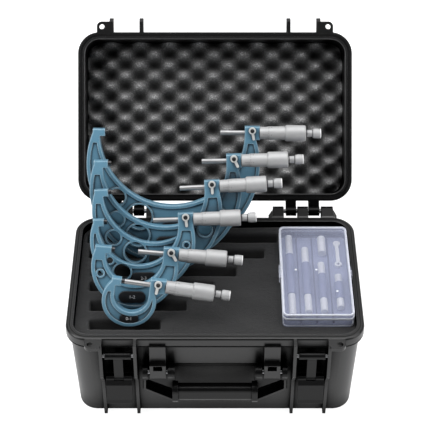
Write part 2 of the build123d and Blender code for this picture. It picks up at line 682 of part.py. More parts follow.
class Micrometer:
    """One outside micrometer, drawn in its own plane: x along the spindle from the anvil's
    face, y up, z towards the front. The spindle is at the low end of its travel."""

    def __init__(self, row):
        self.row = row
        self.gap = INCH * (row["size"] - 1)
        self.block = self.gap + SPINDLE_SHOWN
        self.head = self.block + BLOCK_LENGTH
        self.skirt = self.head + SLEEVE_SHOWN
        self.knurl = self.skirt + THIMBLE_FRONT
        self.tail = self.knurl + THIMBLE_GRIP
        left = -row["bulge_left"]
        right = self.block + row["bulge_right"]
        self.outerRadius = (right - left) / 2
        self.outerX = (right + left) / 2
        self.outerY = self.outerRadius - row["throat"] - row["web"]
        self.innerRadius = (self.block + LEG_INSIDE) / 2
        self.innerX = (self.block - LEG_INSIDE) / 2
        self.innerY = self.innerRadius - row["throat"]

    def place(self, shape):
        """Moves a piece from the micrometer's plane to its slot in the case."""
        lean = radians(self.row["lean"])
        tilt = radians(self.row["tilt"])
        rise = self.row["anvil_rise"]
        origin = (LEFT + self.row["anvil_in"], self.row["slot_y"] + rise * sin(lean), FOAM_TOP + rise * cos(lean))
        along = (cos(tilt), sin(tilt) * sin(lean), sin(tilt) * cos(lean))
        plane = Plane(origin=origin, x_dir=along, z_dir=(0, -cos(lean), sin(lean)))
        return plane.location * shape

    def outline(self, shrink):
        """The frame's outline, or the same shrunk by a margin on the curves."""
        reach = 2 * self.outerRadius
        disc = Pos(self.outerX, self.outerY) * Circle(self.outerRadius - shrink)
        left = Pos(self.outerX - reach / 2, BOSS_TOP - reach) * Rectangle(reach, 2 * reach)
        right = Pos(self.outerX + reach / 2, BLOCK_HALF - reach) * Rectangle(reach, 2 * reach)
        throat = Pos(self.innerX, self.innerY) * Circle(self.innerRadius + shrink)
        wide = 2 * (self.innerRadius + shrink)
        throat += Pos(self.innerX, self.innerY + reach / 2) * Rectangle(wide, reach)
        return disc & (left + right), throat

    def frame(self):
        """The U-shaped frame with its anvil boss and spindle block."""
        body, throat = self.outline(0)
        heelX = self.outerX - sqrt(self.outerRadius**2 - self.outerY**2)
        boss = Pos((heelX - BOSS_TIP) / 2, (BOSS_TOP - BOSS_BOTTOM) / 2)
        boss = boss * Rectangle(-BOSS_TIP - heelX, BOSS_TOP + BOSS_BOTTOM)
        block = Pos(self.block + BLOCK_LENGTH / 2, 0) * Rectangle(BLOCK_LENGTH, 2 * BLOCK_HALF)
        profile = (body - throat) + boss + block
        frame = Pos(0, 0, -FRAME_THICK / 2) * extrude(profile, FRAME_THICK)
        ends = frame.faces().group_by(Axis.Z)
        rims = ends[0].edges() + ends[-1].edges()
        frame = fillet(rims, EDGE_ROUND)
        hollow, inner = self.outline(RIM_WIDTH)
        drop = POCKET_TOP + self.outerRadius
        below = Pos(self.outerX, -drop) * Rectangle(3 * self.outerRadius, 2 * self.outerRadius)
        pocket = (hollow - inner) & below
        for x, y, radius in self.row["holes"]:
            pocket -= Pos(x, y) * Circle(radius + 2)
        floor = FRAME_THICK / 2 - POCKET_DEPTH
        frame -= Pos(0, 0, floor) * extrude(pocket, POCKET_DEPTH + 1)
        frame -= Pos(0, 0, -floor - POCKET_DEPTH - 1) * extrude(pocket, POCKET_DEPTH + 1)
        for x, y, radius in self.row["holes"]:
            frame -= rodZ(-FRAME_THICK, FRAME_THICK, x, y, radius)
        frame -= rodX(-ANVIL_LENGTH, BOSS_TIP, 0, 0, ANVIL_RADIUS + FINE_FIT)
        frame -= rodX(self.block - 1, self.head + 1, 0, 0, SPINDLE_RADIUS + FINE_FIT)
        pinFloor = FRAME_THICK / 2 - LEVER_PIN - FINE_FIT
        middle = self.block + BLOCK_LENGTH / 2
        frame -= rodZ(pinFloor, FRAME_THICK, middle, LEVER_RISE, LEVER_PIN_RADIUS + FINE_FIT)
        return frame

    def anvil(self):
        """The fixed measuring pin."""
        return rodX(-ANVIL_LENGTH + FINE_FIT, 0, 0, 0, ANVIL_RADIUS)

    def sleeve(self):
        """The graduated sleeve, seated on the block."""
        return ringX(self.head, self.head + SLEEVE_LENGTH, SLEEVE_RADIUS, SPINDLE_RADIUS + FINE_FIT)

    def spindle(self):
        """The measuring spindle, from its face to the thimble's cap."""
        return rodX(self.gap, self.tail - SPINDLE_SHORT, 0, 0, SPINDLE_RADIUS)

    def thimble(self):
        """The thimble: a thin graduated front, a knurled grip and an end cap."""
        bore = SLEEVE_RADIUS + THIMBLE_BORE_FIT
        front = rodX(self.skirt, self.knurl, 0, 0, THIMBLE_FRONT_RADIUS)
        grip = rodX(self.knurl, self.tail, 0, 0, THIMBLE_GRIP_RADIUS)
        body = front + chamfer(grip.edges().filter_by(GeomType.CIRCLE), 0.8)
        body -= rodX(self.skirt - 1, self.tail - THIMBLE_CAP, 0, 0, bore)
        shelf = self.tail - SPINDLE_SHORT
        body -= rodX(self.tail - THIMBLE_CAP - 1, shelf, 0, 0, SPINDLE_RADIUS + FINE_FIT)
        return body - rodX(shelf - 1, self.tail + 1, 0, 0, RATCHET_STUB_RADIUS + FINE_FIT)

    def ratchet(self):
        """The ratchet stop: a stub in the thimble's cap, a neck and a knurled knob."""
        start = self.tail + RUNNING_GAP
        knob = start + RATCHET_NECK
        end = rodX(knob, knob + RATCHET_LENGTH, 0, 0, RATCHET_RADIUS)
        end = chamfer(end.edges().filter_by(GeomType.CIRCLE), 0.6)
        neck = rodX(start, knob, 0, 0, RATCHET_NECK_RADIUS)
        return rodX(self.tail - RATCHET_STUB, start, 0, 0, RATCHET_STUB_RADIUS) + neck + end

    def lockLever(self):
        """The spindle lock: a knob on the block's front with a short lever."""
        base = FRAME_THICK / 2
        knob = rodZ(base + FINE_FIT, base + LEVER_KNOB_THICK, 0, 0, LEVER_KNOB_RADIUS)
        knob += rodZ(base - LEVER_PIN, base + FINE_FIT, 0, 0, LEVER_PIN_RADIUS)
        half = LEVER_WIDTH / 2
        arm = brick(-half, half, half - LEVER_LENGTH, 0, base + FINE_FIT, base + LEVER_THICK)
        tip = rodZ(base + FINE_FIT, base + LEVER_THICK, 0, half - LEVER_LENGTH, half)
        middle = self.block + BLOCK_LENGTH / 2
        return Pos(middle, LEVER_RISE, 0) * Rot(0, 0, self.row["lever"]) * (knob + arm + tip)

    def deepest(self):
        """How far below the foam's top the frame reaches along the slot, pushed all the way in."""
        low = self.row["throat"] + self.row["web"] - self.row["anvil_rise"]
        lift = self.outerX * sin(radians(self.row["tilt"]))
        return low - lift + self.row["sink"]

    def slot(self):
        """The slanting slot in the foam."""
        lean = radians(self.row["lean"])
        deep = self.deepest() + SLOT_SPARE
        left, right = LEFT + self.row["slot_left"], LEFT + self.row["slot_right"]
        front = (0, -cos(lean), sin(lean))
        plane = Plane(origin=(0, self.row["slot_y"], FOAM_TOP), x_dir=(1, 0, 0), z_dir=front)
        return plane.location * brick(left, right, -deep, 20, -SLOT_BACK, SLOT_FRONT)

    def pieces(self):
        """Each sub-part by its node name, in place."""
        makers = dict(
            frame=self.frame,
            anvil=self.anvil,
            sleeve=self.sleeve,
            spindle=self.spindle,
            thimble=self.thimble,
            ratchet=self.ratchet,
            lock_lever=self.lockLever,
        )
        tag = f"mic{self.row['size']}"
        return {f"{tag}_{word}": self.place(make()) for word, make in makers.items()}


MICS = [Micrometer(row) for row in MICROMETERS]
for mic in MICS:
    for node, solid in mic.pieces().items():
        save(node, solid)


# ---- base foam
def baseFoam():
    """The foam block, with a slanting slot for each micrometer."""
    gap = BASE_WALL + FOAM_GAP
    bottom = BASE_WALL + FINE_FIT
    block = tub(inset(LOW_SIDES, gap), inset(HIGH_SIDES, gap), bottom, UNDER_FLANGE)
    block += slab(*inset(HIGH_SIDES, gap), UNDER_FLANGE, FOAM_TOP)
    block -= recess(BASE_WALL + FOAM_GAP)
    for mic in MICS:
        block -= mic.slot()
    return block


save("base_foam", baseFoam())


# ---- standards box
BOX_MID_X = (BOX_LEFT + BOX_RIGHT) / 2
BOX_MID_Y = (BOX_FRONT + BOX_BACK) / 2
BOX_HALF_X = (BOX_RIGHT - BOX_LEFT) / 2
BOX_HALF_Y = (BOX_BACK - BOX_FRONT) / 2
TRAY_BOTTOM = FOAM_TOP + FINE_FIT
TRAY_TOP = TRAY_BOTTOM + TRAY_HEIGHT
BOX_TOP = TRAY_TOP + SEAM + BOX_LID_HEIGHT
BOX_HINGE_X = BOX_RIGHT + BOX_HINGE_RADIUS
TRAY_FLOOR = TRAY_BOTTOM + BOX_WALL
BOX_SIDES = (BOX_HALF_X, BOX_HALF_Y, BOX_CORNER)


def boxSlab(shrink, z0, z1):
    """A slab on the standards box's outline."""
    return Pos(BOX_MID_X, BOX_MID_Y, 0) * slab(*inset(BOX_SIDES, shrink), z0, z1)


def boxTray():
    """The tray with its dividers and half of the hinge."""
    tray = boxSlab(0, TRAY_BOTTOM, TRAY_TOP) - boxSlab(BOX_WALL, TRAY_FLOOR, TRAY_TOP + 1)
    for left, right in zip(RODS, RODS[1:]):
        x = (left[0] + right[0]) / 2
        y0 = BOX_FRONT + BOX_WALL / 2
        y1 = BOX_BACK - BOX_WALL / 2
        half = DIVIDER_THICK / 2
        tray += brick(x - half, x + half, y0, y1, TRAY_FLOOR, TRAY_FLOOR + DIVIDER_HEIGHT)
    for side in (-1, 1):
        y0 = side * (BOX_HINGE_HALF + SEAM)
        y1 = side * BOX_HINGE_SPAN
        tray += rodY(y0, y1, BOX_HINGE_X, TRAY_TOP, BOX_HINGE_RADIUS)
        tray += brick(BOX_RIGHT - 1, BOX_HINGE_X, y0, y1, TRAY_TOP - BOX_HINGE_RADIUS, TRAY_TOP)
    swing = BOX_HINGE_RADIUS + SEAM
    half = BOX_HINGE_HALF + SEAM
    tray -= brick(BOX_HINGE_X - swing, BOX_HINGE_X, -half, half, TRAY_TOP - swing, TRAY_TOP + 1)
    bore = rodY(-BOX_HINGE_SPAN - 1, BOX_HINGE_SPAN + 1, BOX_HINGE_X, TRAY_TOP, BOX_HINGE_PIN + FINE_FIT)
    catch = brick(BOX_LEFT - 0.5, BOX_LEFT + 0.5, -3, 3, TRAY_TOP - 3.4, TRAY_TOP - 2.4)
    return tray - bore + catch


def boxLid():
    """The box's lid with its clasp, its hinge knuckle and the knuckle's pin."""
    bottom = TRAY_TOP + SEAM
    lid = boxSlab(0, bottom, BOX_TOP) - boxSlab(BOX_WALL, bottom - 1, BOX_TOP - BOX_WALL)
    lid += rodY(-BOX_HINGE_HALF, BOX_HINGE_HALF, BOX_HINGE_X, TRAY_TOP, BOX_HINGE_RADIUS)
    half = BOX_HINGE_HALF
    lid += brick(BOX_RIGHT - 1, BOX_HINGE_X, -half, half, bottom, bottom + BOX_HINGE_RADIUS)
    lid += rodY(-BOX_HINGE_SPAN, BOX_HINGE_SPAN, BOX_HINGE_X, TRAY_TOP, BOX_HINGE_PIN)
    outer = BOX_LEFT - BOX_CLASP_THICK - 0.8
    low = TRAY_TOP - BOX_CLASP_DROP
    clasp = brick(outer, outer + BOX_CLASP_THICK, -BOX_CLASP_HALF, BOX_CLASP_HALF, low, bottom + 3)
    bridge = brick(outer, BOX_LEFT + 0.5, -BOX_CLASP_HALF, BOX_CLASP_HALF, bottom + 1, bottom + 3)
    return lid + clasp + bridge


def rods():
    """The four setting standards and the short disc standard, lying in the tray."""
    z = TRAY_FLOOR + ROD_GRIP_RADIUS + FINE_FIT
    solids = []
    for x, y, inches in RODS:
        half = inches * INCH / 2
        rod = rodY(y - half, y + half, x, z, ROD_RADIUS)
        solids.append(chamfer(rod.edges().filter_by(GeomType.CIRCLE), 0.6))
    discZ = TRAY_FLOOR + DISC_RADIUS + FINE_FIT
    solids.append(rodY(DISC_Y - INCH / 2, DISC_Y + INCH / 2, DISC_X, discZ, DISC_RADIUS))
    return solids


def rodGrips():
    """The insulating sleeves on the standards."""
    z = TRAY_FLOOR + ROD_GRIP_RADIUS + FINE_FIT
    solids = []
    for x, y, inches in RODS:
        half = inches * INCH * ROD_GRIP_SHARE / 2
        grip = rodY(y - half, y + half, x, z, ROD_GRIP_RADIUS)
        solids.append(grip - rodY(y - half - 1, y + half + 1, x, z, ROD_RADIUS + FINE_FIT))
    return solids


def spanner():
    """The sleeve spanner: a flat bar with a hooked eye at each end."""
    z0 = TRAY_FLOOR + FINE_FIT
    z1 = z0 + SPANNER_THICK
    half = SPANNER_LENGTH / 2 - SPANNER_HEAD_RADIUS
    side = SPANNER_WIDTH / 2
    bar = brick(SPANNER_X - side, SPANNER_X + side, SPANNER_Y - half, SPANNER_Y + half, z0, z1)
    for side in (-1, 1):
        bar += rodZ(z0, z1, SPANNER_X, SPANNER_Y + side * half, SPANNER_HEAD_RADIUS)
    return bar - rodZ(z0 - 1, z1 + 1, SPANNER_X, SPANNER_Y - half, SPANNER_HOLE)


save("box_tray", boxTray())
save("box_lid", boxLid())
save("standard_rods", *rods())
save("standard_grips", *rodGrips())
save("spanner", spanner())
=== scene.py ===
from math import cos, radians, sin, sqrt, tau

import bpy
from mathutils import Matrix, Vector, noise


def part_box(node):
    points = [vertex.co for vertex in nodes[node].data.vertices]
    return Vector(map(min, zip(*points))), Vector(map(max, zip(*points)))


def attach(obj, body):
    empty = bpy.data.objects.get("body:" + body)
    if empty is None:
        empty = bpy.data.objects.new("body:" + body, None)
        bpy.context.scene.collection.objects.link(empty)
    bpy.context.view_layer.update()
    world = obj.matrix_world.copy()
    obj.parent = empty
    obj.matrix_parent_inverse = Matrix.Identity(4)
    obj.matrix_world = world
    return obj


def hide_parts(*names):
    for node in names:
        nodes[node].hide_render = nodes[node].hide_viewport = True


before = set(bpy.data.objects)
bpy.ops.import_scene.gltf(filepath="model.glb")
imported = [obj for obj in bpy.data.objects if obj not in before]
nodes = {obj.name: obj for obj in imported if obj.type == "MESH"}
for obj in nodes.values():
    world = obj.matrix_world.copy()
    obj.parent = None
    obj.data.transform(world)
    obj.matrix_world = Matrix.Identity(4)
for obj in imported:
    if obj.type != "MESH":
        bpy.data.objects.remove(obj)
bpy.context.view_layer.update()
print("frame:", len(nodes), "nodes")


# a socket that takes part in sums, so that shader maths reads as maths
class Wire:
    def __init__(self, tree, socket):
        self.tree = tree
        self.socket = socket

    def work(self, operation, *values):
        node = self.tree.nodes.new("ShaderNodeMath")
        node.operation = operation
        for place, value in zip(node.inputs, values):
            plug(self.tree, place, value)
        return Wire(self.tree, node.outputs[0])

    def __add__(self, other):
        return self.work("ADD", self, other)

    def __radd__(self, other):
        return self.work("ADD", other, self)

    def __sub__(self, other):
        return self.work("SUBTRACT", self, other)

    def __rsub__(self, other):
        return self.work("SUBTRACT", other, self)

    def __mul__(self, other):
        return self.work("MULTIPLY", self, other)

    def __rmul__(self, other):
        return self.work("MULTIPLY", other, self)

    def __pow__(self, other):
        return self.work("POWER", self, other)

    def above(self, limit):
        return self.work("GREATER_THAN", self, limit)

    def below(self, limit):
        return self.work("LESS_THAN", self, limit)

    def away(self):
        return self.work("ABSOLUTE", self)

    def kept(self):  # held between 0 and 1
        return self.work("MINIMUM", self.work("MAXIMUM", self, 0.0), 1.0)


def plug(tree, place, value):
    if isinstance(value, Wire):
        tree.links.new(value.socket, place)
    elif isinstance(value, tuple) and len(value) == 3 and place.type == "RGBA":
        place.default_value = (*value, 1.0)
    else:
        place.default_value = value


# dead black shader for painted shade
paintedShadeBlack = {"Base Color": (0.001, 0.001, 0.001), "Specular IOR Level": 0.0, "Roughness": 0.9}


class Paint:
    def __init__(self, name, **values):
        self.material = bpy.data.materials.new(name)
        self.material.use_nodes = True
        self.tree = self.material.node_tree
        self.tree.nodes.clear()
        self.shader = self.tree.nodes.new("ShaderNodeBsdfPrincipled")
        self.output = self.tree.nodes.new("ShaderNodeOutputMaterial")
        self.tree.links.new(self.shader.outputs[0], self.output.inputs[0])
        self.coords = self.node("TexCoord", out="Object")
        self.set(**values)

    # puts values or wires on the shader's own sockets
    def set(self, **values):
        for name, value in values.items():
            plug(self.tree, self.shader.inputs[name.replace("_", " ")], value)
        return self

    # adds a node: its settings first, then values or wires by the names or numbers of its sockets
    def node(self, kind, settings=None, inputs=None, out=0):
        node = self.tree.nodes.new("ShaderNode" + kind)
        for name, value in (settings or {}).items():
            setattr(node, name, value)
        for place, value in (inputs or {}).items():
            plug(self.tree, node.inputs[place], value)
        return Wire(self.tree, node.outputs[out])

    def noise(self, scale, detail, rough=0.55):
        inputs = {"Vector": self.coords, "Scale": scale, "Detail": detail, "Roughness": rough}
        return self.node("TexNoise", None, inputs, "Fac")

    def cells(self, scale):
        return self.node("TexVoronoi", None, {"Vector": self.coords, "Scale": scale}, "Distance")

    def tint(self, factor, low, high):
        return self.node("Mix", {"data_type": "RGBA"}, {0: factor, 6: low, 7: high}, 2)

    def axes(self):
        split = self.node("SeparateXYZ", None, {"Vector": self.coords}).socket.node
        return [Wire(self.tree, socket) for socket in split.outputs]

    # rounds sharp edges in the light, then adds a fine grain
    def surface(self, grain, depth, soften=0.0, strength=1.0):
        inputs = {"Height": grain, "Distance": depth, "Strength": strength}
        if soften:
            inputs["Normal"] = self.node("Bevel", {"samples": 4}, {"Radius": soften})
        return self.set(Normal=self.node("Bump", None, inputs))

    # 1 along convex and concave edges, 0 on flats
    def edges(self, radius):
        rounded = self.node("Bevel", {"samples": 4}, {"Radius": radius})
        flat = self.node("NewGeometry", out="Normal")
        alike = self.node("VectorMath", {"operation": "DOT_PRODUCT"}, {0: rounded, 1: flat}, "Value")
        return ((1.0 - alike) * 6.0).kept()

    # 1 in the open, less in hollows narrower than the reach; it drives painted shade
    def openness(self, reach):
        return self.node("AmbientOcclusion", {"samples": 12}, {"Distance": reach}, "AO")

    # painted shade: swaps the shader for a dead black one where the share is 0
    def fadeOut(self, share):
        shadeShader = self.node("BsdfPrincipled", None, paintedShadeBlack)
        whole = Wire(self.tree, self.shader.outputs[0])
        plug(self.tree, self.output.inputs[0], self.node("MixShader", None, {0: share, 1: shadeShader, 2: whole}))


# moulded plastic of the case, and of what is pinned to it, with painted shade in its hollows and behind the
# case
plastics = {
    "casePlastic": {
        "colour": (0.0026, 0.0026, 0.0027),
        "wornAndHighlit": (0.03, 0.03, 0.031),
        "roughness": 0.32,
        "grainScale": 900.0,
        "grainDepth": 0.00005,
        "soften": 0.0009,
        "shine": 0.5,
    },
    "latchPlastic": {
        "colour": (0.0018, 0.0018, 0.0019),
        "wornAndHighlit": (0.022, 0.022, 0.023),
        "roughness": 0.34,
        "grainScale": 1300.0,
        "grainDepth": 0.00004,
        "soften": 0.0007,
        "shine": 0.22,
    },
}
plasticWearAndShade = {
    "patchScale": 14.0,
    "patchLow": 0.86,
    "patchHigh": 1.14,
    "scuffScale": 260.0,
    "edge": 0.0012,
    "edgeShare": 0.55,
    "hollowReach": 0.045,
    "hollowFrom": 0.32,
    "hollowGain": 1.9,
    # where the hinge knuckles stand, in the shade behind the case
    "rearY": 0.0992,
    "rearLow": 0.09,
    "rearHigh": 0.139,
    "rearShade": 0.75,
}


def mouldedPlastic(name):
    size, wearAndShade = plastics[name], plasticWearAndShade
    paint = Paint(name, IOR=1.5, Specular_IOR_Level=size["shine"])
    patches = paint.noise(wearAndShade["patchScale"], 3.0)
    scuffs = paint.noise(wearAndShade["scuffScale"], 6.0, 0.7)
    edge = paint.edges(wearAndShade["edge"])
    grain = paint.noise(size["grainScale"], 2.0)
    # edges rubbed lighter: wear, and a painted highlight along them
    rubbedAndHighlit = (edge * (scuffs * 1.5 - 0.35)).kept()
    low = tuple(c * wearAndShade["patchLow"] for c in size["colour"])
    high = tuple(c * wearAndShade["patchHigh"] for c in size["colour"])
    shade = paint.tint(patches, low, high)
    paint.set(Base_Color=paint.tint(rubbedAndHighlit * wearAndShade["edgeShare"], shade, size["wornAndHighlit"]))
    paint.set(Roughness=size["roughness"] + (patches - 0.5) * 0.12 + (grain - 0.5) * 0.1)
    x, y, z = paint.axes()
    rear = y.above(wearAndShade["rearY"]) * z.above(wearAndShade["rearLow"]) * z.below(wearAndShade["rearHigh"])
    # painted shade: dead black in hollows narrower than the reach, and mostly black where the hinge
    # knuckles stand behind the case
    unshaded = ((paint.openness(wearAndShade["hollowReach"]) - wearAndShade["hollowFrom"]) * wearAndShade["hollowGain"]).kept()
    paint.fadeOut(unshaded * (1.0 - rear * wearAndShade["rearShade"]))
    return paint.surface(grain, size["grainDepth"], size["soften"])


# finishes with one grain that drives colour, roughness and relief
# grain is its scale, detail and roughness; only those with a depth have relief
plainFinishes = {
    # black rubber of the gasket, also used for painted shade and shadow round the base
    "sealRubberAndShade": {
        "shader": {"Specular_IOR_Level": 0.12},
        "grain": (1200.0, 3.0, 0.55),
        "low": (0.0016, 0.0016, 0.0017),
        "high": (0.0034, 0.0034, 0.0036),
        "roughness": 0.6,
        "spread": 0.2,
        "depth": 0.00008,
        "soften": 0.0005,
    },
    # lighter plastic for the painted highlight on the case's lips
    "caseLipHighlight": {
        "shader": {"IOR": 1.5, "Specular_IOR_Level": 0.5},
        "grain": (400.0, 5.0, 0.7),
        "low": (0.02, 0.02, 0.0205),
        "high": (0.07, 0.07, 0.071),
        "roughness": 0.34,
        "spread": 0.12,
        "depth": 0.00004,
        "soften": 0.0,
    },
    "gripPlastic": {
        "shader": {"Specular_IOR_Level": 0.4},
        "grain": (300.0, 3.0, 0.55),
        "low": (0.2, 0.225, 0.34),
        "high": (0.27, 0.295, 0.42),
        "roughness": 0.45,
        "spread": 0.1,
        "depth": 0.00003,
        "soften": 0.0004,
    },
    # black ink of the scales, also used for painted shade in the ratchet's grooves
    "scaleInkAndShade": {
        "shader": {"Specular_IOR_Level": 0.3},
        "grain": (3000.0, 2.0, 0.55),
        "low": (0.006, 0.006, 0.007),
        "high": (0.016, 0.016, 0.018),
        "roughness": 0.6,
        "spread": 0.1,
    },
    "pillBlack": {
        "shader": {"Coat_Weight": 0.3, "Coat_Roughness": 0.1},
        "grain": (1500.0, 2.0, 0.55),
        "low": (0.006, 0.006, 0.007),
        "high": (0.013, 0.013, 0.014),
        "roughness": 0.3,
        "spread": 0.1,
        "depth": 0.00002,
        "soften": 0.0004,
    },
    "figureWhite": {
        "shader": {},
        "grain": (2500.0, 2.0, 0.55),
        "low": (0.42, 0.43, 0.44),
        "high": (0.6, 0.61, 0.62),
        "roughness": 0.5,
        "spread": 0.1,
    },
}


def plainFinish(name):
    size = plainFinishes[name]
    paint = Paint(name, **size["shader"])
    grain = paint.noise(*size["grain"])
    paint.set(Base_Color=paint.tint(grain, size["low"], size["high"]))
    paint.set(Roughness=size["roughness"] + grain * size["spread"])
    if "depth" in size:
        paint.surface(grain, size["depth"], size["soften"])
    return paint


# open-cell foam: pores, flecks, and painted shade low down in the valleys where a height attribute is given
foams = {
    "lidFoam": {
        "low": (0.11, 0.11, 0.111),
        "high": (0.25, 0.25, 0.251),
        "fleck": (0.6, 0.6, 0.6),
        "speckle": 700.0,
        "height": "height",
    },
    "baseFoam": {
        "low": (0.015, 0.015, 0.0155),
        "high": (0.022, 0.022, 0.0225),
        "fleck": (0.034, 0.034, 0.035),
        "speckle": 900.0,
        "height": None,
    },
}
foamGrain = {
    "poreScale": 950.0,
    "fineScale": 1500.0,
    "mottleScale": 90.0,
    "fleckShare": 0.6,
    "valleyShadeShare": 0.05,
    "heightPower": 1.9,
    "depth": 0.0004,
}


def foamFinish(name):
    size, look = foams[name], foamGrain
    paint = Paint(name, Specular_IOR_Level=0.18, Sheen_Weight=0.12, Sheen_Roughness=0.6)
    pores = paint.cells(look["poreScale"])
    fine = paint.noise(look["fineScale"], 3.0, 0.7)
    mottle = paint.noise(look["mottleScale"], 4.0, 0.6)
    body = paint.tint(mottle * 0.55 + fine * 0.45, size["low"], size["high"])
    flecks = ((paint.noise(size["speckle"], 2.0, 0.5) - 0.48) * 6.0).kept() * look["fleckShare"]
    colour = paint.tint(flecks, body, size["fleck"])
    # painted shade: darker towards the valleys' bottoms
    if size["height"]:
        height = paint.node("Attribute", {"attribute_name": size["height"]}, out="Fac")
        shade = (height ** look["heightPower"]) * 1.05 + 0.015
        valley = tuple(c * look["valleyShadeShare"] for c in size["low"])
        colour = paint.tint(shade.kept(), valley, colour)
    paint.set(Base_Color=colour, Roughness=0.9 + fine * 0.08)
    return paint.surface(pores + fine * 0.6, look["depth"], strength=0.8)


# glued joints between the base's foam blocks, and painted shade on the cut walls below its skin
foamBlocks = {
    "longJoint": {"y": 0.0625, "half": 0.00045, "from": -0.09, "to": 0.071},
    "shortJoint": {"x": -0.0446, "half": 0.0004, "to": -0.0715},
    "jointColour": (0.008, 0.008, 0.008),
    "jointShare": 0.75,
    "skin": 0.1163,
    "cutWallShadeFade": 260.0,
    "cutWallShade": (0.003, 0.003, 0.0031),
    "cutWallShadeShare": 0.93,
}


def baseFoamFinish():
    size = foamBlocks
    long, short = size["longJoint"], size["shortJoint"]
    paint = foamFinish("baseFoam")
    x, y, z = paint.axes()
    joint = (y - long["y"]).away().below(long["half"]) * x.above(long["from"]) * x.below(long["to"])
    joint = joint + (x - short["x"]).away().below(short["half"]) * y.below(short["to"])
    # painted shade: near black on the walls below the top skin
    below = ((size["skin"] - z) * size["cutWallShadeFade"]).kept()
    foam = Wire(paint.tree, paint.shader.inputs["Base Color"].links[0].from_socket)
    body = paint.tint(joint.kept() * size["jointShare"], foam, size["jointColour"])
    return paint.set(Base_Color=paint.tint(below * size["cutWallShadeShare"], body, size["cutWallShade"]))


# stoved enamel of the micrometers' frames: orange peel, worn edges with a painted highlight, and painted
# shade in hollows
enamel = {
    "blueLow": (0.1, 0.24, 0.345),
    "blueHigh": (0.135, 0.285, 0.39),
    "wornEdgeAndHighlight": (0.55, 0.72, 0.8),
    "hollow": (0.008, 0.024, 0.042),
    "peelScale": 420.0,
    "peelDepth": 0.00012,
    "driftScale": 35.0,
    "chipScale": 700.0,
    "edge": 0.0018,
    "edgeShare": 0.85,
    "hollowReach": 0.02,
    "hollowFrom": 0.46,
    "hollowGain": 2.0,
    "roughness": 0.32,
    "coat": 0.55,
    "soften": 0.0014,
}


def enamelFinish():
    size = enamel
    paint = Paint("frameEnamel", IOR=1.5, Coat_Roughness=0.18)
    peel = paint.noise(size["peelScale"], 3.0, 0.5)
    drift = paint.noise(size["driftScale"], 3.0)
    edge = paint.edges(size["edge"])
    chips = paint.noise(size["chipScale"], 5.0, 0.7)
    blue = paint.tint(drift, size["blueLow"], size["blueHigh"])
    # edges lighter: chipped wear, and a painted highlight
    wornAndHighlit = (edge * (chips * 1.6 + 0.05)).kept()
    blueWithHighlights = paint.tint(wornAndHighlit * size["edgeShare"], blue, size["wornEdgeAndHighlight"])
    # painted shade: darker blue in hollows narrower than the reach
    unshaded = ((paint.openness(size["hollowReach"]) - size["hollowFrom"]) * size["hollowGain"]).kept()
    paint.set(Base_Color=paint.tint(unshaded, size["hollow"], blueWithHighlights))
    paint.set(Roughness=size["roughness"] + peel * 0.12, Coat_Weight=size["coat"] - wornAndHighlit * 0.2)
    return paint.surface(peel, size["peelDepth"], size["soften"])


metals = {
    "pinSteel": {
        "low": (0.16, 0.16, 0.165),
        "high": (0.27, 0.27, 0.28),
        "metallic": 1.0,
        "roughness": 0.38,
        "spread": 0.1,
        "grainScale": 700.0,
        "depth": 0.00003,
        "soften": 0.0003,
    },
    "satinChrome": {
        "low": (0.36, 0.362, 0.366),
        "high": (0.475, 0.477, 0.481),
        "metallic": 0.4,
        "roughness": 0.55,
        "spread": 0.04,
        "grainScale": 1500.0,
        "depth": 0.00001,
        "soften": 0.0005,
    },
    "brightSteel": {
        "low": (0.33, 0.33, 0.335),
        "high": (0.44, 0.44, 0.445),
        "metallic": 0.75,
        "roughness": 0.4,
        "spread": 0.03,
        "grainScale": 900.0,
        "depth": 0.000002,
        "soften": 0.0003,
    },
    # bright steel of the standards, also used for the painted highlight round the ratchet knobs
    "standardSteelAndHighlight": {
        "low": (0.8, 0.8, 0.8),
        "high": (0.92, 0.92, 0.92),
        "metallic": 0.25,
        "roughness": 0.5,
        "spread": 0.03,
        "grainScale": 900.0,
        "depth": 0.000002,
        "soften": 0.0003,
    },
    "ringMetal": {
        "low": (0.72, 0.72, 0.7),
        "high": (0.84, 0.84, 0.82),
        "metallic": 0.35,
        "roughness": 0.35,
        "spread": 0.04,
        "grainScale": 900.0,
        "depth": 0.000002,
        "soften": 0.0003,
    },
    "carbide": {
        "low": (0.05, 0.05, 0.052),
        "high": (0.1, 0.1, 0.103),
        "metallic": 1.0,
        "roughness": 0.32,
        "spread": 0.08,
        "grainScale": 900.0,
        "depth": 0.00001,
        "soften": 0.0003,
    },
}


def metalFinish(name):
    size = metals[name]
    paint = Paint(name, Metallic=size["metallic"])
    grain = paint.noise(size["grainScale"], 4.0, 0.65)
    smears = paint.noise(60.0, 3.0)
    paint.set(Base_Color=paint.tint(grain * 0.5 + smears * 0.5, size["low"], size["high"]))
    paint.set(Roughness=size["roughness"] + (smears - 0.5) * size["spread"] + (grain - 0.5) * 0.08)
    return paint.surface(grain, size["depth"], size["soften"])


# see-through plastic of the standards box: cloudy, scratched, and a painted highlight along its edges
clear = {
    "body": (0.36, 0.39, 0.53),
    "edgeHighlight": (0.85, 0.87, 0.95),
    "edge": 0.0016,
    "cloudScale": 40.0,
    "scratchScale": 900.0,
    "scratchDepth": 0.00002,
    "soften": 0.0007,
    "roughness": 0.2,
    "alpha": 0.2,
    "edgeHighlightAlpha": 0.6,
}


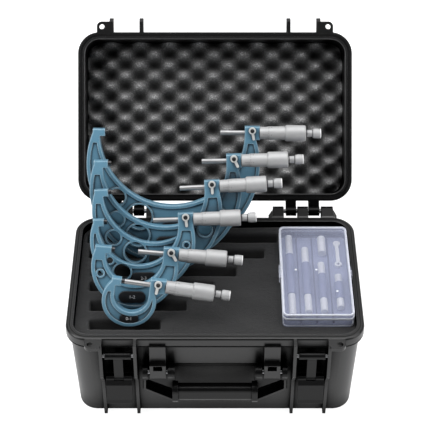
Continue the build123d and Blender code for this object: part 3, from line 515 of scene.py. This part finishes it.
def clearFinish():
    size = clear
    paint = Paint("clearPlastic", IOR=1.46, Specular_IOR_Level=0.5)
    cloud = paint.noise(size["cloudScale"], 3.0)
    scratch = paint.noise(size["scratchScale"], 5.0, 0.7)
    edge = paint.edges(size["edge"])
    # painted highlight: paler and less clear along the edges
    paint.set(Base_Color=paint.tint(edge, size["body"], size["edgeHighlight"]))
    paint.set(Alpha=size["alpha"] + cloud * 0.08 + edge * size["edgeHighlightAlpha"])
    paint.set(Roughness=size["roughness"] + scratch * 0.16)
    return paint.surface(scratch, size["scratchDepth"], size["soften"])


# the tray: its floor is cloudier than its walls
tray = {
    "floorTop": 0.1187,
    "wallColour": (0.085, 0.095, 0.15),
    "cloudColour": (0.45, 0.48, 0.6),
    "roughness": 0.24,
    "alpha": 0.38,
    "floorAlpha": 0.46,
}


def trayFinish():
    size = tray
    paint = Paint("trayPlastic", IOR=1.46, Specular_IOR_Level=0.5)
    x, y, z = paint.axes()
    cloud = paint.noise(clear["cloudScale"], 3.0)
    scratch = paint.noise(clear["scratchScale"], 5.0, 0.7)
    floor = z.below(size["floorTop"])
    body = paint.tint(floor, size["wallColour"], clear["body"])
    paint.set(Base_Color=paint.tint(cloud * 0.2, body, size["cloudColour"]))
    paint.set(Alpha=size["alpha"] + floor * size["floorAlpha"] + cloud * 0.06)
    paint.set(Roughness=size["roughness"] + scratch * 0.16)
    return paint.surface(scratch, clear["scratchDepth"], clear["soften"])


# pale plastic: the box's moulding marks, and the beads that paint a highlight along its edges
frostAndHighlight = {
    "low": (0.72, 0.74, 0.8),
    "high": (0.86, 0.88, 0.92),
    "cloudScale": 120.0,
    "scratchScale": 1400.0,
    "scratchDepth": 0.00003,
    "roughness": 0.38,
    "alpha": 0.78,
}


def frostFinish():
    size = frostAndHighlight
    paint = Paint("frostAndEdgeHighlight", IOR=1.46)
    cloud = paint.noise(size["cloudScale"], 3.0)
    scratch = paint.noise(size["scratchScale"], 4.0, 0.7)
    paint.set(Base_Color=paint.tint(cloud, size["low"], size["high"]))
    paint.set(Alpha=size["alpha"] + cloud * 0.2, Roughness=size["roughness"] + scratch * 0.16)
    return paint.surface(scratch, size["scratchDepth"])


finishes = {
    "casePlastic": mouldedPlastic("casePlastic"),
    "latchPlastic": mouldedPlastic("latchPlastic"),
    "sealRubberAndShade": plainFinish("sealRubberAndShade"),
    "caseLipHighlight": plainFinish("caseLipHighlight"),
    "lidFoam": foamFinish("lidFoam"),
    "baseFoam": baseFoamFinish(),
    "pinSteel": metalFinish("pinSteel"),
    "frameEnamel": enamelFinish(),
    "satinChrome": metalFinish("satinChrome"),
    "brightSteel": metalFinish("brightSteel"),
    "standardSteelAndHighlight": metalFinish("standardSteelAndHighlight"),
    "ringMetal": metalFinish("ringMetal"),
    "carbide": metalFinish("carbide"),
    "clearPlastic": clearFinish(),
    "trayPlastic": trayFinish(),
    "frostAndEdgeHighlight": frostFinish(),
    "gripPlastic": plainFinish("gripPlastic"),
    "scaleInkAndShade": plainFinish("scaleInkAndShade"),
    "pillBlack": plainFinish("pillBlack"),
    "figureWhite": plainFinish("figureWhite"),
}
print("finishes:", len(finishes))


nodeFinish = {
    "base_shell": "casePlastic",
    "lid_shell": "casePlastic",
    "lid_gasket": "sealRubberAndShade",
    "lid_foam": "lidFoam",
    "base_foam": "baseFoam",
    "hinge_pins": "pinSteel",
    "latch_pins": "pinSteel",
    "handle_pins": "pinSteel",
    "latch_link_left": "latchPlastic",
    "latch_link_right": "latchPlastic",
    "latch_lever_left": "latchPlastic",
    "latch_lever_right": "latchPlastic",
    "handle": "latchPlastic",
    "box_tray": "trayPlastic",
    "box_lid": "clearPlastic",
    "standard_rods": "standardSteelAndHighlight",
    "standard_grips": "gripPlastic",
    "spanner": "standardSteelAndHighlight",
}
micFinish = {
    "frame": "frameEnamel",
    "anvil": "carbide",
    "sleeve": "satinChrome",
    "spindle": "brightSteel",
    "thimble": "satinChrome",
    "ratchet": "satinChrome",
    "lock_lever": "ringMetal",
}
for number in range(1, 7):
    for word, finish in micFinish.items():
        nodeFinish[f"mic{number}_{word}"] = finish
for node, finish in nodeFinish.items():
    for place in nodes[node].material_slots:
        place.material = finishes[finish].material
print("cad nodes painted:", len(nodeFinish))


# small helpers for modelling by hand
def rest():
    if bpy.context.mode != "OBJECT":
        bpy.ops.object.mode_set(mode="OBJECT")
    bpy.ops.object.select_all(action="DESELECT")


def pick(*pieces):
    rest()
    for piece in pieces:
        piece.select_set(True)
    bpy.context.view_layer.objects.active = pieces[0]


def named(name):
    piece = bpy.context.active_object
    piece.name = name
    piece.data.name = name
    return piece


# applies a modifier made from its settings
def modify(piece, kind, **settings):
    pick(piece)
    modifier = piece.modifiers.new(kind.title(), kind)
    for key, value in settings.items():
        setattr(modifier, key, value)
    bpy.ops.object.modifier_apply(modifier=modifier.name)


# moves a piece's place into its mesh, after a text or a curve has become one
def settle(piece):
    pick(piece)
    if piece.type != "MESH":
        bpy.ops.object.convert(target="MESH")
        piece = bpy.context.active_object
    bpy.ops.object.transform_apply(location=True, rotation=True, scale=True)
    return piece


def joined(name, pieces):
    pick(*pieces)
    bpy.ops.object.join()
    return named(name)


def inEdit(piece, mode="FACE"):
    pick(piece)
    bpy.ops.object.mode_set(mode="EDIT")
    bpy.ops.mesh.select_mode(type=mode)


def outwards(piece):
    inEdit(piece)
    bpy.ops.mesh.select_all(action="SELECT")
    bpy.ops.mesh.remove_doubles(threshold=1e-6)
    bpy.ops.mesh.normals_make_consistent(inside=False)
    rest()
    return piece


def shadeByAngle(piece, degrees):
    pick(piece)
    bpy.ops.object.shade_smooth_by_angle(angle=radians(degrees))
    return piece


def dress(piece, finish, body):
    piece.data.materials.clear()
    piece.data.materials.append(finishes[finish].material)
    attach(piece, body)


# swings a piece that is modelled on the shut lid back to where the lid stands open
hinge = {"y": 0.1105, "z": 0.1233, "open": 130.4}
lidOpen = (
    Matrix.Translation((0, hinge["y"], hinge["z"]))
    @ Matrix.Rotation(radians(-hinge["open"]), 4, "X")
    @ Matrix.Translation((0, -hinge["y"], -hinge["z"]))
)


# lid foam
lidFoam = {
    "halfX": 0.1516,
    "halfY": 0.0901,
    "corner": 0.0166,
    "back": 0.17925,
    "backTaper": (0.995, 0.992, 0.0),
    "tall": 0.0218,
    "valley": 0.0062,
    "pitchX": 0.0351,
    "pitchY": 0.0250,
    "shiftX": -0.0019,
    "shiftY": 0.0010,
    "turn": 0.008,
    "turnX": -0.04,
    "turnY": -0.03,
    # rows nearer the front than this stand a little further apart
    "spread": 0.048,
    "spreadFrom": -0.0165,
    "peak": 1.15,
    "cellsX": 190,
    "cellsY": 124,
    "driftScale": 60.0,
    "drift": 0.12,
    "wobbleScale": 420.0,
    "wobble": 0.0005,
    "wobbleRoom": 0.0006,
}


def eggCrate(size):
    rest()
    bpy.ops.mesh.primitive_grid_add(x_subdivisions=size["cellsX"], y_subdivisions=size["cellsY"], size=2.0)
    foam = named("lid_egg_crate_foam")
    for point in foam.data.vertices:
        y = point.co.y * size["halfY"]
        over = max(abs(y) - (size["halfY"] - size["corner"]), 0.0)
        room = size["halfX"] - size["corner"] + sqrt(max(size["corner"] ** 2 - over ** 2, 0.0))
        x = point.co.x * room
        spread = size["spread"] * max(0.0, size["spreadFrom"] - y)
        right = x - size["shiftX"] + size["turn"] * (y - size["turnY"])
        down = y - size["shiftY"] - size["turn"] * (x - size["turnX"]) + spread
        across = cos(tau * right / size["pitchX"])
        along = cos(tau * down / size["pitchY"])
        share = (0.5 + 0.5 * across * along) ** size["peak"]
        drift = noise.noise(Vector((x, y, 0.0)) * size["driftScale"]) * size["drift"] * share
        fine = noise.noise(Vector((x, y, 3.0)) * size["wobbleScale"]) * size["wobble"]
        share = min(max(share + drift, 0.0), 1.0)
        tall = size["valley"] + (size["tall"] - size["valley"] - size["wobbleRoom"]) * share + fine
        point.co = Vector((x, y, size["back"] - tall))
    # sides and back
    inEdit(foam)
    bpy.ops.mesh.select_all(action="SELECT")
    bpy.ops.mesh.extrude_region_move()
    bpy.ops.transform.resize(value=size["backTaper"], center_override=(0.0, 0.0, size["back"]))
    bpy.ops.mesh.dissolve_limited(angle_limit=radians(1.0))
    outwards(foam)
    # how high each point stands, for the painted shade of the finish's valleys
    low, high = size["back"] - size["valley"], size["back"] - size["tall"]
    heights = [max(0.0, min(1.0, (low - point.co.z) / (low - high))) for point in foam.data.vertices]
    foam.data.attributes.new("height", "FLOAT", "POINT").data.foreach_set("value", heights)
    foam.data.transform(lidOpen)
    shadeByAngle(foam, 60.0)
    dress(foam, "lidFoam", "lid")
    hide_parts("lid_foam")


eggCrate(lidFoam)
print("lid foam done")


# base foam
baseFoam = {
    "voxel": 0.0014,
    "smooth": 2,
    "driftScale": 45.0,
    "wobbleScale": 260.0,
    "wobble": 0.0003,
    "settled": 0.0002,
}


def cutFoam(size):
    pick(nodes["base_foam"])
    bpy.ops.object.duplicate()
    foam = named("base_cut_foam")
    for key in list(foam.keys()):
        del foam[key]
    foam.parent = None
    foam.hide_render = False
    outwards(foam)
    modify(foam, "REMESH", mode="VOXEL", voxel_size=size["voxel"], use_smooth_shade=True)
    modify(foam, "SMOOTH", factor=0.5, iterations=size["smooth"])
    low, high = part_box("base_foam")
    for point in foam.data.vertices:
        x, y, z = point.co
        drift = noise.noise(point.co * size["driftScale"]) * size["wobble"]
        drift += noise.noise(point.co * size["wobbleScale"]) * size["wobble"] * 0.5
        point.co = Vector((
            max(low.x, min(high.x, x + drift)),
            max(low.y, min(high.y, y + drift)),
            max(low.z, min(high.z, z + drift - size["settled"])),
        ))
    shadeByAngle(foam, 60.0)
    dress(foam, "baseFoam", "case")
    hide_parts("base_foam")


cutFoam(baseFoam)
print("base foam done")


# micrometers: the same sizes as their CAD nodes, metres
inch = 0.0254
foamTop = 0.117
micSizes = {
    "block": 0.0274,
    "blockLong": 0.017,
    "sleeveShown": 0.009,
    "sleeveRadius": 0.007,
    "skirtRadius": 0.0076,
    "skirtLong": 0.020,
    "gripRadius": 0.009,
    "gripLong": 0.023,
    "ratchetRadius": 0.0053,
    "ratchetNeck": 0.0078,
    "ratchetLong": 0.0094,
    "gap": 0.0003,
    "thick": 0.010,
    "pocket": 0.0017,
    "lockRise": 0.0034,
    "lockFront": 0.003,
}
# lean, slot y, anvil x, rise and tilt, then the pill's middle x and y, length, height and turn
micRows = (
    (24.0, -0.0662, -0.0964, 0.0476, -8.3, (0.0098, -0.0400, 0.0200, 0.0105, 8.3)),
    (29.0, -0.0368, -0.1086, 0.0609, -5.0, (0.0228, -0.0505, 0.0290, 0.0125, 4.0)),
    (31.0, -0.0062, -0.1188, 0.0705, 1.8, (0.0380, -0.0640, 0.0290, 0.0130, -1.0)),
    (31.0, 0.0180, -0.1152, 0.0881, 3.0, (0.0520, -0.0775, 0.0290, 0.0130, -2.0)),
    (27.0, 0.0465, -0.1163, 0.1034, 1.2, (0.0620, -0.0920, 0.0290, 0.0130, 0.0)),
    (28.0, 0.0730, -0.1208, 0.1224, -0.5, (0.0760, -0.1090, 0.0290, 0.0130, 0.0)),
)


# the micrometer's own plane: x along the spindle from the anvil's face, z to the front
def micPlace(lean, slotY, anvilX, rise, tilt):
    lean, tilt = radians(lean), radians(tilt)
    along = Vector((cos(tilt), sin(tilt) * sin(lean), sin(tilt) * cos(lean)))
    front = Vector((0.0, -cos(lean), sin(lean)))
    up = front.cross(along)
    place = Matrix((along, up, front)).transposed().to_4x4()
    place.translation = Vector((anvilX, slotY + rise * sin(lean), foamTop + rise * cos(lean)))
    return place


# bends a flat sheet of work round the spindle axis: x stays, y goes round, z is the height
def wrap(piece, radius, start=0.0):
    for point in piece.data.vertices:
        x, y, z = point.co
        turn = start + y / radius
        out = radius + z
        point.co = Vector((x, -out * sin(turn), out * cos(turn)))
    piece.data.update()


knurls = {
    "grip": {"margin": 0.0014, "teeth": 46, "rows": 34, "rise": 0.00014, "diamond": True},
    "ratchet": {"margin": 0.0009, "teeth": 30, "rows": 4, "rise": 0.00022, "diamond": False},
}
knurlEdge = {"drop": 0.0001, "wall": 0.0004}


def knurledBand(name, start, end, radius, size):
    rest()
    rows, steps = size["rows"], 2 * size["teeth"]
    girth = tau * radius
    start, end = start + size["margin"], end - size["margin"]
    bpy.ops.mesh.primitive_grid_add(x_subdivisions=rows, y_subdivisions=steps, size=1.0)
    band = named(name)
    for point in band.data.vertices:
        along, about = point.co.x + 0.5, point.co.y + 0.5
        row, step = round(along * rows), round(about * steps)
        peak = (row + step) % 2 == 0 if size["diamond"] else step % 2 == 0
        height = size["rise"] if peak else 0.0
        if row in (0, rows):
            height = -knurlEdge["drop"]
        point.co = Vector((start + along * (end - start), about * girth, height))
    wrap(band, radius)
    # closed along its seam, then given an inner wall
    inEdit(band, "EDGE")
    bpy.ops.mesh.select_all(action="SELECT")
    bpy.ops.mesh.remove_doubles(threshold=1e-6)
    bpy.ops.mesh.select_all(action="DESELECT")
    bpy.ops.mesh.select_non_manifold()
    bpy.ops.mesh.extrude_edges_move()
    inner = 1.0 - knurlEdge["wall"] / radius
    bpy.ops.transform.resize(value=(1.0, inner, inner), center_override=(0.0, 0.0, 0.0))
    bpy.ops.mesh.bridge_edge_loops()
    return outwards(band)


scale = {
    "turn": 8.0,
    "tick": 0.00022,
    "sink": 0.00025,
    "proud": 0.00004,
    "figure": 0.0017,
    # sleeve
    "pitch": inch / 40,
    "divisions": 40,
    "figureEvery": 4,
    "shortTick": 0.0011,
    "longTick": 0.0020,
    "figureHigh": 0.0031,
    "zeroFrom": 0.0035,
    "zeroPast": 0.001,
    # thimble
    "thimbleDivisions": 25,
    "thimbleEvery": 5,
    "thimbleEdge": 0.0003,
    "thimbleTick": 0.0017,
    "thimbleLongTick": 0.0026,
    "thimbleFigure": 0.0042,
}


def flatTick(x0, x1, y0, y1, cuts=0):
    rest()
    bpy.ops.mesh.primitive_cube_add(size=1.0)
    tick = named("tick")
    tick.scale = (x1 - x0, y1 - y0, scale["sink"] + scale["proud"])
    tick.location = ((x0 + x1) / 2, (y0 + y1) / 2, (scale["proud"] - scale["sink"]) / 2)
    if cuts:
        inEdit(tick)
        bpy.ops.mesh.select_all(action="SELECT")
        bpy.ops.mesh.subdivide(number_cuts=cuts)
    return settle(tick)


# words sunk to scale depth, or of the given thickness about their own plane
def figure(text, x, y, size, tall=None):
    rest()
    bpy.ops.object.text_add()
    piece = bpy.context.active_object
    piece.data.body = text
    piece.data.size = size
    piece.data.extrude = (tall or (scale["sink"] + scale["proud"])) / 2
    piece.data.align_x = "CENTER"
    piece.data.align_y = "CENTER"
    piece.data.resolution_u = 2
    piece.location = (x, y, 0.0 if tall else (scale["proud"] - scale["sink"]) / 2)
    return settle(piece)


def copied(piece, x, y):
    pick(piece)
    bpy.ops.object.duplicate()
    copy = named("copy")
    copy.data.transform(Matrix.Translation((x, y, 0.0)))
    return copy


def sleeveScale(head, skirt):
    size = scale
    half = size["tick"] / 2
    marks = [flatTick(head + size["zeroFrom"], skirt + inch + size["zeroPast"], -half, half)]
    short = flatTick(0.0, size["tick"], 0.0, size["shortTick"], 2)
    long = flatTick(0.0, size["tick"], 0.0, size["longTick"], 3)
    for step in range(size["divisions"] + 1):
        x = skirt + step * size["pitch"]
        numbered = step % size["figureEvery"] == 0
        marks.append(copied(long if numbered else short, x - half, 0.0))
        if numbered:
            digit = str(step // size["figureEvery"] % 10)
            marks.append(figure(digit, x, size["figureHigh"], size["figure"]))
    for tick in (short, long):
        bpy.data.objects.remove(tick)
    return marks


def thimbleScale(skirt, radius):
    size = scale
    half = size["tick"] / 2
    marks = []
    edge = skirt + size["thimbleEdge"]
    short = flatTick(edge, skirt + size["thimbleTick"], -half, half)
    long = flatTick(edge, skirt + size["thimbleLongTick"], -half, half)
    pitch = tau * radius / size["thimbleDivisions"]
    for step in range(size["thimbleDivisions"]):
        numbered = step % size["thimbleEvery"] == 0
        marks.append(copied(long if numbered else short, 0.0, step * pitch))
        if numbered:
            marks.append(figure(str(step), skirt + size["thimbleFigure"], step * pitch, size["figure"]))
    for tick in (short, long):
        bpy.data.objects.remove(tick)
    return marks


pill = {
    "rise": 0.0011,
    "sunk": 0.0004,
    "bevel": 0.0004,
    "figure": 0.0052,
    "figureShare": 0.6,
    "figureThick": 0.0003,
    "figureProud": 0.0002,
}


def sizePill(name, spec, text, floor):
    size = pill
    x, y, long, high, turn = spec
    rest()
    bpy.ops.mesh.primitive_cylinder_add(vertices=48, radius=high / 2, depth=size["rise"] + size["sunk"])
    plate = named(name)
    stretch = (long - high) / 2
    for point in plate.data.vertices:
        point.co.x += stretch if point.co.x > 0 else -stretch
    modify(plate, "BEVEL", width=size["bevel"], segments=3, limit_method="ANGLE", angle_limit=radians(60))
    turned = Matrix.Rotation(radians(turn), 4, "Z")
    middle = floor + size["rise"] / 2
    plate.data.transform(Matrix.Translation((x, y, middle)) @ turned)
    words = figure(text, 0.0, 0.0, min(size["figure"], high * size["figureShare"]), size["figureThick"])
    top = size["rise"] / 2 + size["figureProud"]
    words.data.transform(Matrix.Translation((x, y, middle + top)) @ turned)
    return plate, words


lockKnob = {
    "radius": 0.0023,
    "tall": 0.0009,
    "lift": 0.0003,
    "bevel": 0.00015,
    # each step's inset and rise
    "steps": ((0.0006, 0.0002), (0.0007, -0.0004)),
}


def lockCap(name, x, y, floor):
    size = lockKnob
    rest()
    bpy.ops.mesh.primitive_cylinder_add(vertices=32, radius=size["radius"], depth=size["tall"],
                                        location=(x, y, floor + size["lift"]))
    cap = named(name)
    inEdit(cap)
    bpy.ops.mesh.select_all(action="DESELECT")
    rest()
    for face in cap.data.polygons:
        face.select = face.normal.z > 0.9
    inEdit(cap)
    for inset, rise in size["steps"]:
        bpy.ops.mesh.inset(thickness=inset)
        bpy.ops.transform.translate(value=(0.0, 0.0, rise))
    rest()
    modify(cap, "BEVEL", width=size["bevel"], segments=2, limit_method="ANGLE", angle_limit=radians(30))
    return settle(cap)


# painted shade: dark rings in the grooves at both ends of the ratchet's neck; painted highlight: a bright
# rim round its knob's end
# name, where it is set out from and by how much, radius, half thickness, finish
ratchetRings = (
    ("neck_groove_shade", "neck", 0.0009, 0.0038, 0.0005, "scaleInkAndShade"),
    ("neck_ring_shade", "knob", -0.0007, 0.0038, 0.0004, "scaleInkAndShade"),
    ("knob_rim_highlight", "end", -0.0008, 0.0050, 0.0005, "standardSteelAndHighlight"),
)


def ring(name, x, radius, thick):
    rest()
    bpy.ops.mesh.primitive_torus_add(major_radius=radius, minor_radius=thick,
                                     major_segments=40, minor_segments=8,
                                     rotation=(0.0, radians(90), 0.0), location=(x, 0.0, 0.0))
    return shadeByAngle(settle(named(name)), 60.0)


def micDetails(number, row):
    size = micSizes
    mic = f"mic{number}"
    place = micPlace(*row[:5])
    block = inch * (number - 1) + size["block"]
    head = block + size["blockLong"]
    skirt = head + size["sleeveShown"]
    knurl = skirt + size["skirtLong"]
    tail = knurl + size["gripLong"]
    neck = tail + size["gap"]
    knob = neck + size["ratchetNeck"]
    end = knob + size["ratchetLong"]

    def finishUp(piece, finish, body):
        piece.data.transform(place)
        piece.data.update()
        dress(piece, finish, body)

    band = knurledBand(f"{mic}_grip_knurl", knurl, tail, size["gripRadius"], knurls["grip"])
    finishUp(shadeByAngle(band, 20.0), "satinChrome", f"{mic}_thimble")
    band = knurledBand(f"{mic}_ratchet_knurl", knob, end, size["ratchetRadius"], knurls["ratchet"])
    finishUp(shadeByAngle(band, 20.0), "satinChrome", f"{mic}_ratchet")
    starts = {"neck": neck, "knob": knob, "end": end}
    for word, start, out, radius, thick, finish in ratchetRings:
        rim = ring(f"{mic}_{word}", starts[start] + out, radius, thick)
        finishUp(rim, finish, f"{mic}_ratchet")

    # scales: the sleeve's zero line faces the reader, between front and top
    marks = joined(f"{mic}_sleeve_scale", sleeveScale(head, skirt))
    wrap(marks, size["sleeveRadius"], radians(scale["turn"]))
    finishUp(marks, "scaleInkAndShade", mic)
    marks = joined(f"{mic}_thimble_scale", thimbleScale(skirt, size["skirtRadius"]))
    wrap(marks, size["skirtRadius"], radians(scale["turn"]))
    finishUp(marks, "scaleInkAndShade", f"{mic}_thimble")

    # size pill in the frame's pocket, and the lock's black cap
    floor = size["thick"] / 2 - size["pocket"]
    plate, words = sizePill(f"{mic}_size_pill", row[5], f"{number - 1}-{number}", floor)
    finishUp(shadeByAngle(plate, 40.0), "pillBlack", mic)
    words.name = f"{mic}_size_figures"
    finishUp(words, "figureWhite", mic)
    middle = block + size["blockLong"] / 2
    cap = lockCap(f"{mic}_lock_cap", middle, size["lockRise"], size["thick"] / 2 + size["lockFront"])
    finishUp(shadeByAngle(cap, 40.0), "pillBlack", f"{mic}_lever")


for number, row in enumerate(micRows, 1):
    micDetails(number, row)
    print("micrometer", number, "done")


# standards box: pale beads along its edges as a painted highlight, and the moulding marks in its lid
box = {
    "middle": (0.1111, -0.0012),
    "half": (0.0383, 0.0711),
    "corner": 0.006,
    # name, body, height, how far in from the outline, half the bead's thickness
    "beads": (
        ("crown", "box_lid", 0.13395, 0.0011, 0.0012),
        ("skirt", "box_lid", 0.12895, 0.0003, 0.0006),
        ("lip", "case", 0.12705, 0.0006, 0.0005),
        ("foot", "case", 0.1178, 0.0007, 0.0006),
    ),
    "marks": ((0.0892, -0.0016), (0.1118, -0.0016), (0.1328, -0.0355)),
    "markRadius": 0.0014,
    "markFlat": 0.35,
    "markSunk": 0.0002,
    "top": 0.13515,
}


def roundedBead(name, size, height, inset, thick):
    rest()
    bpy.ops.mesh.primitive_plane_add(size=2.0, location=(*size["middle"], height))
    bead = named(name)
    bead.scale = (size["half"][0] - inset, size["half"][1] - inset, 1.0)
    settle(bead)
    inEdit(bead, "VERT")
    bpy.ops.mesh.select_all(action="SELECT")
    bpy.ops.mesh.bevel(offset=size["corner"] - inset, segments=8, affect="VERTICES")
    bpy.ops.mesh.delete(type="ONLY_FACE")
    pick(bead)
    bpy.ops.object.convert(target="CURVE")
    bead = bpy.context.active_object
    bead.data.bevel_depth = thick
    bead.data.bevel_resolution = 3
    return shadeByAngle(settle(bead), 60.0)


def boxBeads(size):
    for word, body, height, inset, thick in size["beads"]:
        bead = roundedBead(f"box_{word}_bead", size, height, inset, thick)
        # painted highlight along the box's edges
        dress(bead, "frostAndEdgeHighlight", body)
    marks = []
    for x, y in size["marks"]:
        rest()
        bpy.ops.mesh.primitive_uv_sphere_add(segments=20, ring_count=10, radius=size["markRadius"],
                                             location=(x, y, size["top"] - size["markSunk"]))
        mark = named("mark")
        mark.scale = (1.0, 1.0, size["markFlat"])
        marks.append(settle(mark))
    dress(shadeByAngle(joined("box_gate_marks", marks), 60.0), "frostAndEdgeHighlight", "box_lid")


boxBeads(box)
print("box rims done")


# edges of the case: painted highlights on the lips of lid and base, painted shade in the groove of the
# base's rim, and a painted shadow under the base's flange
caseRims = {
    "middle": (0.0, 0.0),
    "half": (0.160, 0.0985),
    "corner": 0.025,
    # name, body, finish, height, how far in from the case's outline, half the bead's thickness
    "beads": (
        # lips: painted highlight; the black beads: painted shade and shadow
        ("lid_mouth_highlight", "lid", "caseLipHighlight", 0.1260, 0.0077, 0.00055),
        ("base_mouth_highlight", "case", "caseLipHighlight", 0.1247, 0.0077, 0.0004),
        ("base_rim_groove_shade", "case", "sealRubberAndShade", 0.1242, 0.0042, 0.0009),
        ("base_flange_shadow", "case", "sealRubberAndShade", 0.1136, 0.0018, 0.0018),
    ),
}


def rimBeads(size):
    for name, body, finish, height, inset, thick in size["beads"]:
        bead = roundedBead(name, size, height, inset, thick)
        if body == "lid":
            bead.data.transform(lidOpen)
        dress(bead, finish, body)


rimBeads(caseRims)
print("case rims done")


# camera, floor and light
studio = {
    "lens": 119.0,
    "sensor": 36.0,
    "clipEnd": 50.0,
    "cameraPlace": (0.0, -1.1445, 1.2113),
    "cameraTurn": 48.92,
    "floorSize": 12.0,
    "floorZ": -0.0002,
    "floorGlow": 0.95,
    "floorColour": (0.36, 0.362, 0.366),
    "floorDrift": 1.03,
    "worldColour": (0.93, 0.96, 1.0),
    "worldStrength": 0.07,
    # name, place, point looked at, width, height, watts
    "lights": (
        ("keyLight", (-1.5, -0.5, 1.5), (0.0, 0.0, 0.12), 1.0, 1.2, 26),
        ("fillLight", (1.6, -0.5, 1.2), (0.0, 0.0, 0.12), 1.0, 1.0, 14),
        ("topLight", (0.0, 0.3, 1.9), (0.0, 0.0, 0.1), 2.0, 1.3, 34),
        ("backLight", (0.0, 1.9, 1.6), (0.0, 0.0, 0.1), 3.0, 1.4, 11),
    ),
}


def studioFloor(size):
    rest()
    bpy.ops.mesh.primitive_plane_add(size=size["floorSize"], location=(0.0, 0.0, size["floorZ"]))
    floor = settle(named("studio_floor"))
    paint = Paint("studioFloor", Specular_IOR_Level=0.1)
    soft = paint.noise(3.0, 2.0)
    pale = size["floorColour"]
    paint.set(Base_Color=paint.tint(soft, pale, tuple(c * size["floorDrift"] for c in pale)), Roughness=0.9)
    paint.set(Emission_Color=(1.0, 1.0, 1.0), Emission_Strength=size["floorGlow"])
    floor.data.materials.append(paint.material)


def studioLights(size):
    for name, place, target, width, height, watts in size["lights"]:
        lamp = bpy.data.lights.new(name, "AREA")
        lamp.shape = "RECTANGLE"
        lamp.size = width
        lamp.size_y = height
        lamp.energy = watts
        stand = bpy.data.objects.new(name, lamp)
        stand.location = place
        stand.rotation_euler = (Vector(target) - Vector(place)).to_track_quat("-Z", "Y").to_euler()
        bpy.context.scene.collection.objects.link(stand)
    world = bpy.data.worlds.new("studioWorld")
    world.use_nodes = True
    glow = world.node_tree.nodes["Background"]
    glow.inputs[0].default_value = (*size["worldColour"], 1.0)
    glow.inputs[1].default_value = size["worldStrength"]
    bpy.context.scene.world = world


def studioCamera(size):
    eye = bpy.data.cameras.new("studioCamera")
    eye.lens = size["lens"]
    eye.sensor_width = size["sensor"]
    eye.clip_end = size["clipEnd"]
    stand = bpy.data.objects.new("studioCamera", eye)
    stand.location = size["cameraPlace"]
    stand.rotation_euler = (radians(size["cameraTurn"]), 0.0, 0.0)
    bpy.context.scene.collection.objects.link(stand)
    bpy.context.scene.camera = stand


studioFloor(studio)
studioLights(studio)
studioCamera(studio)
bpy.context.scene.view_settings.view_transform = "Standard"
print("studio done")
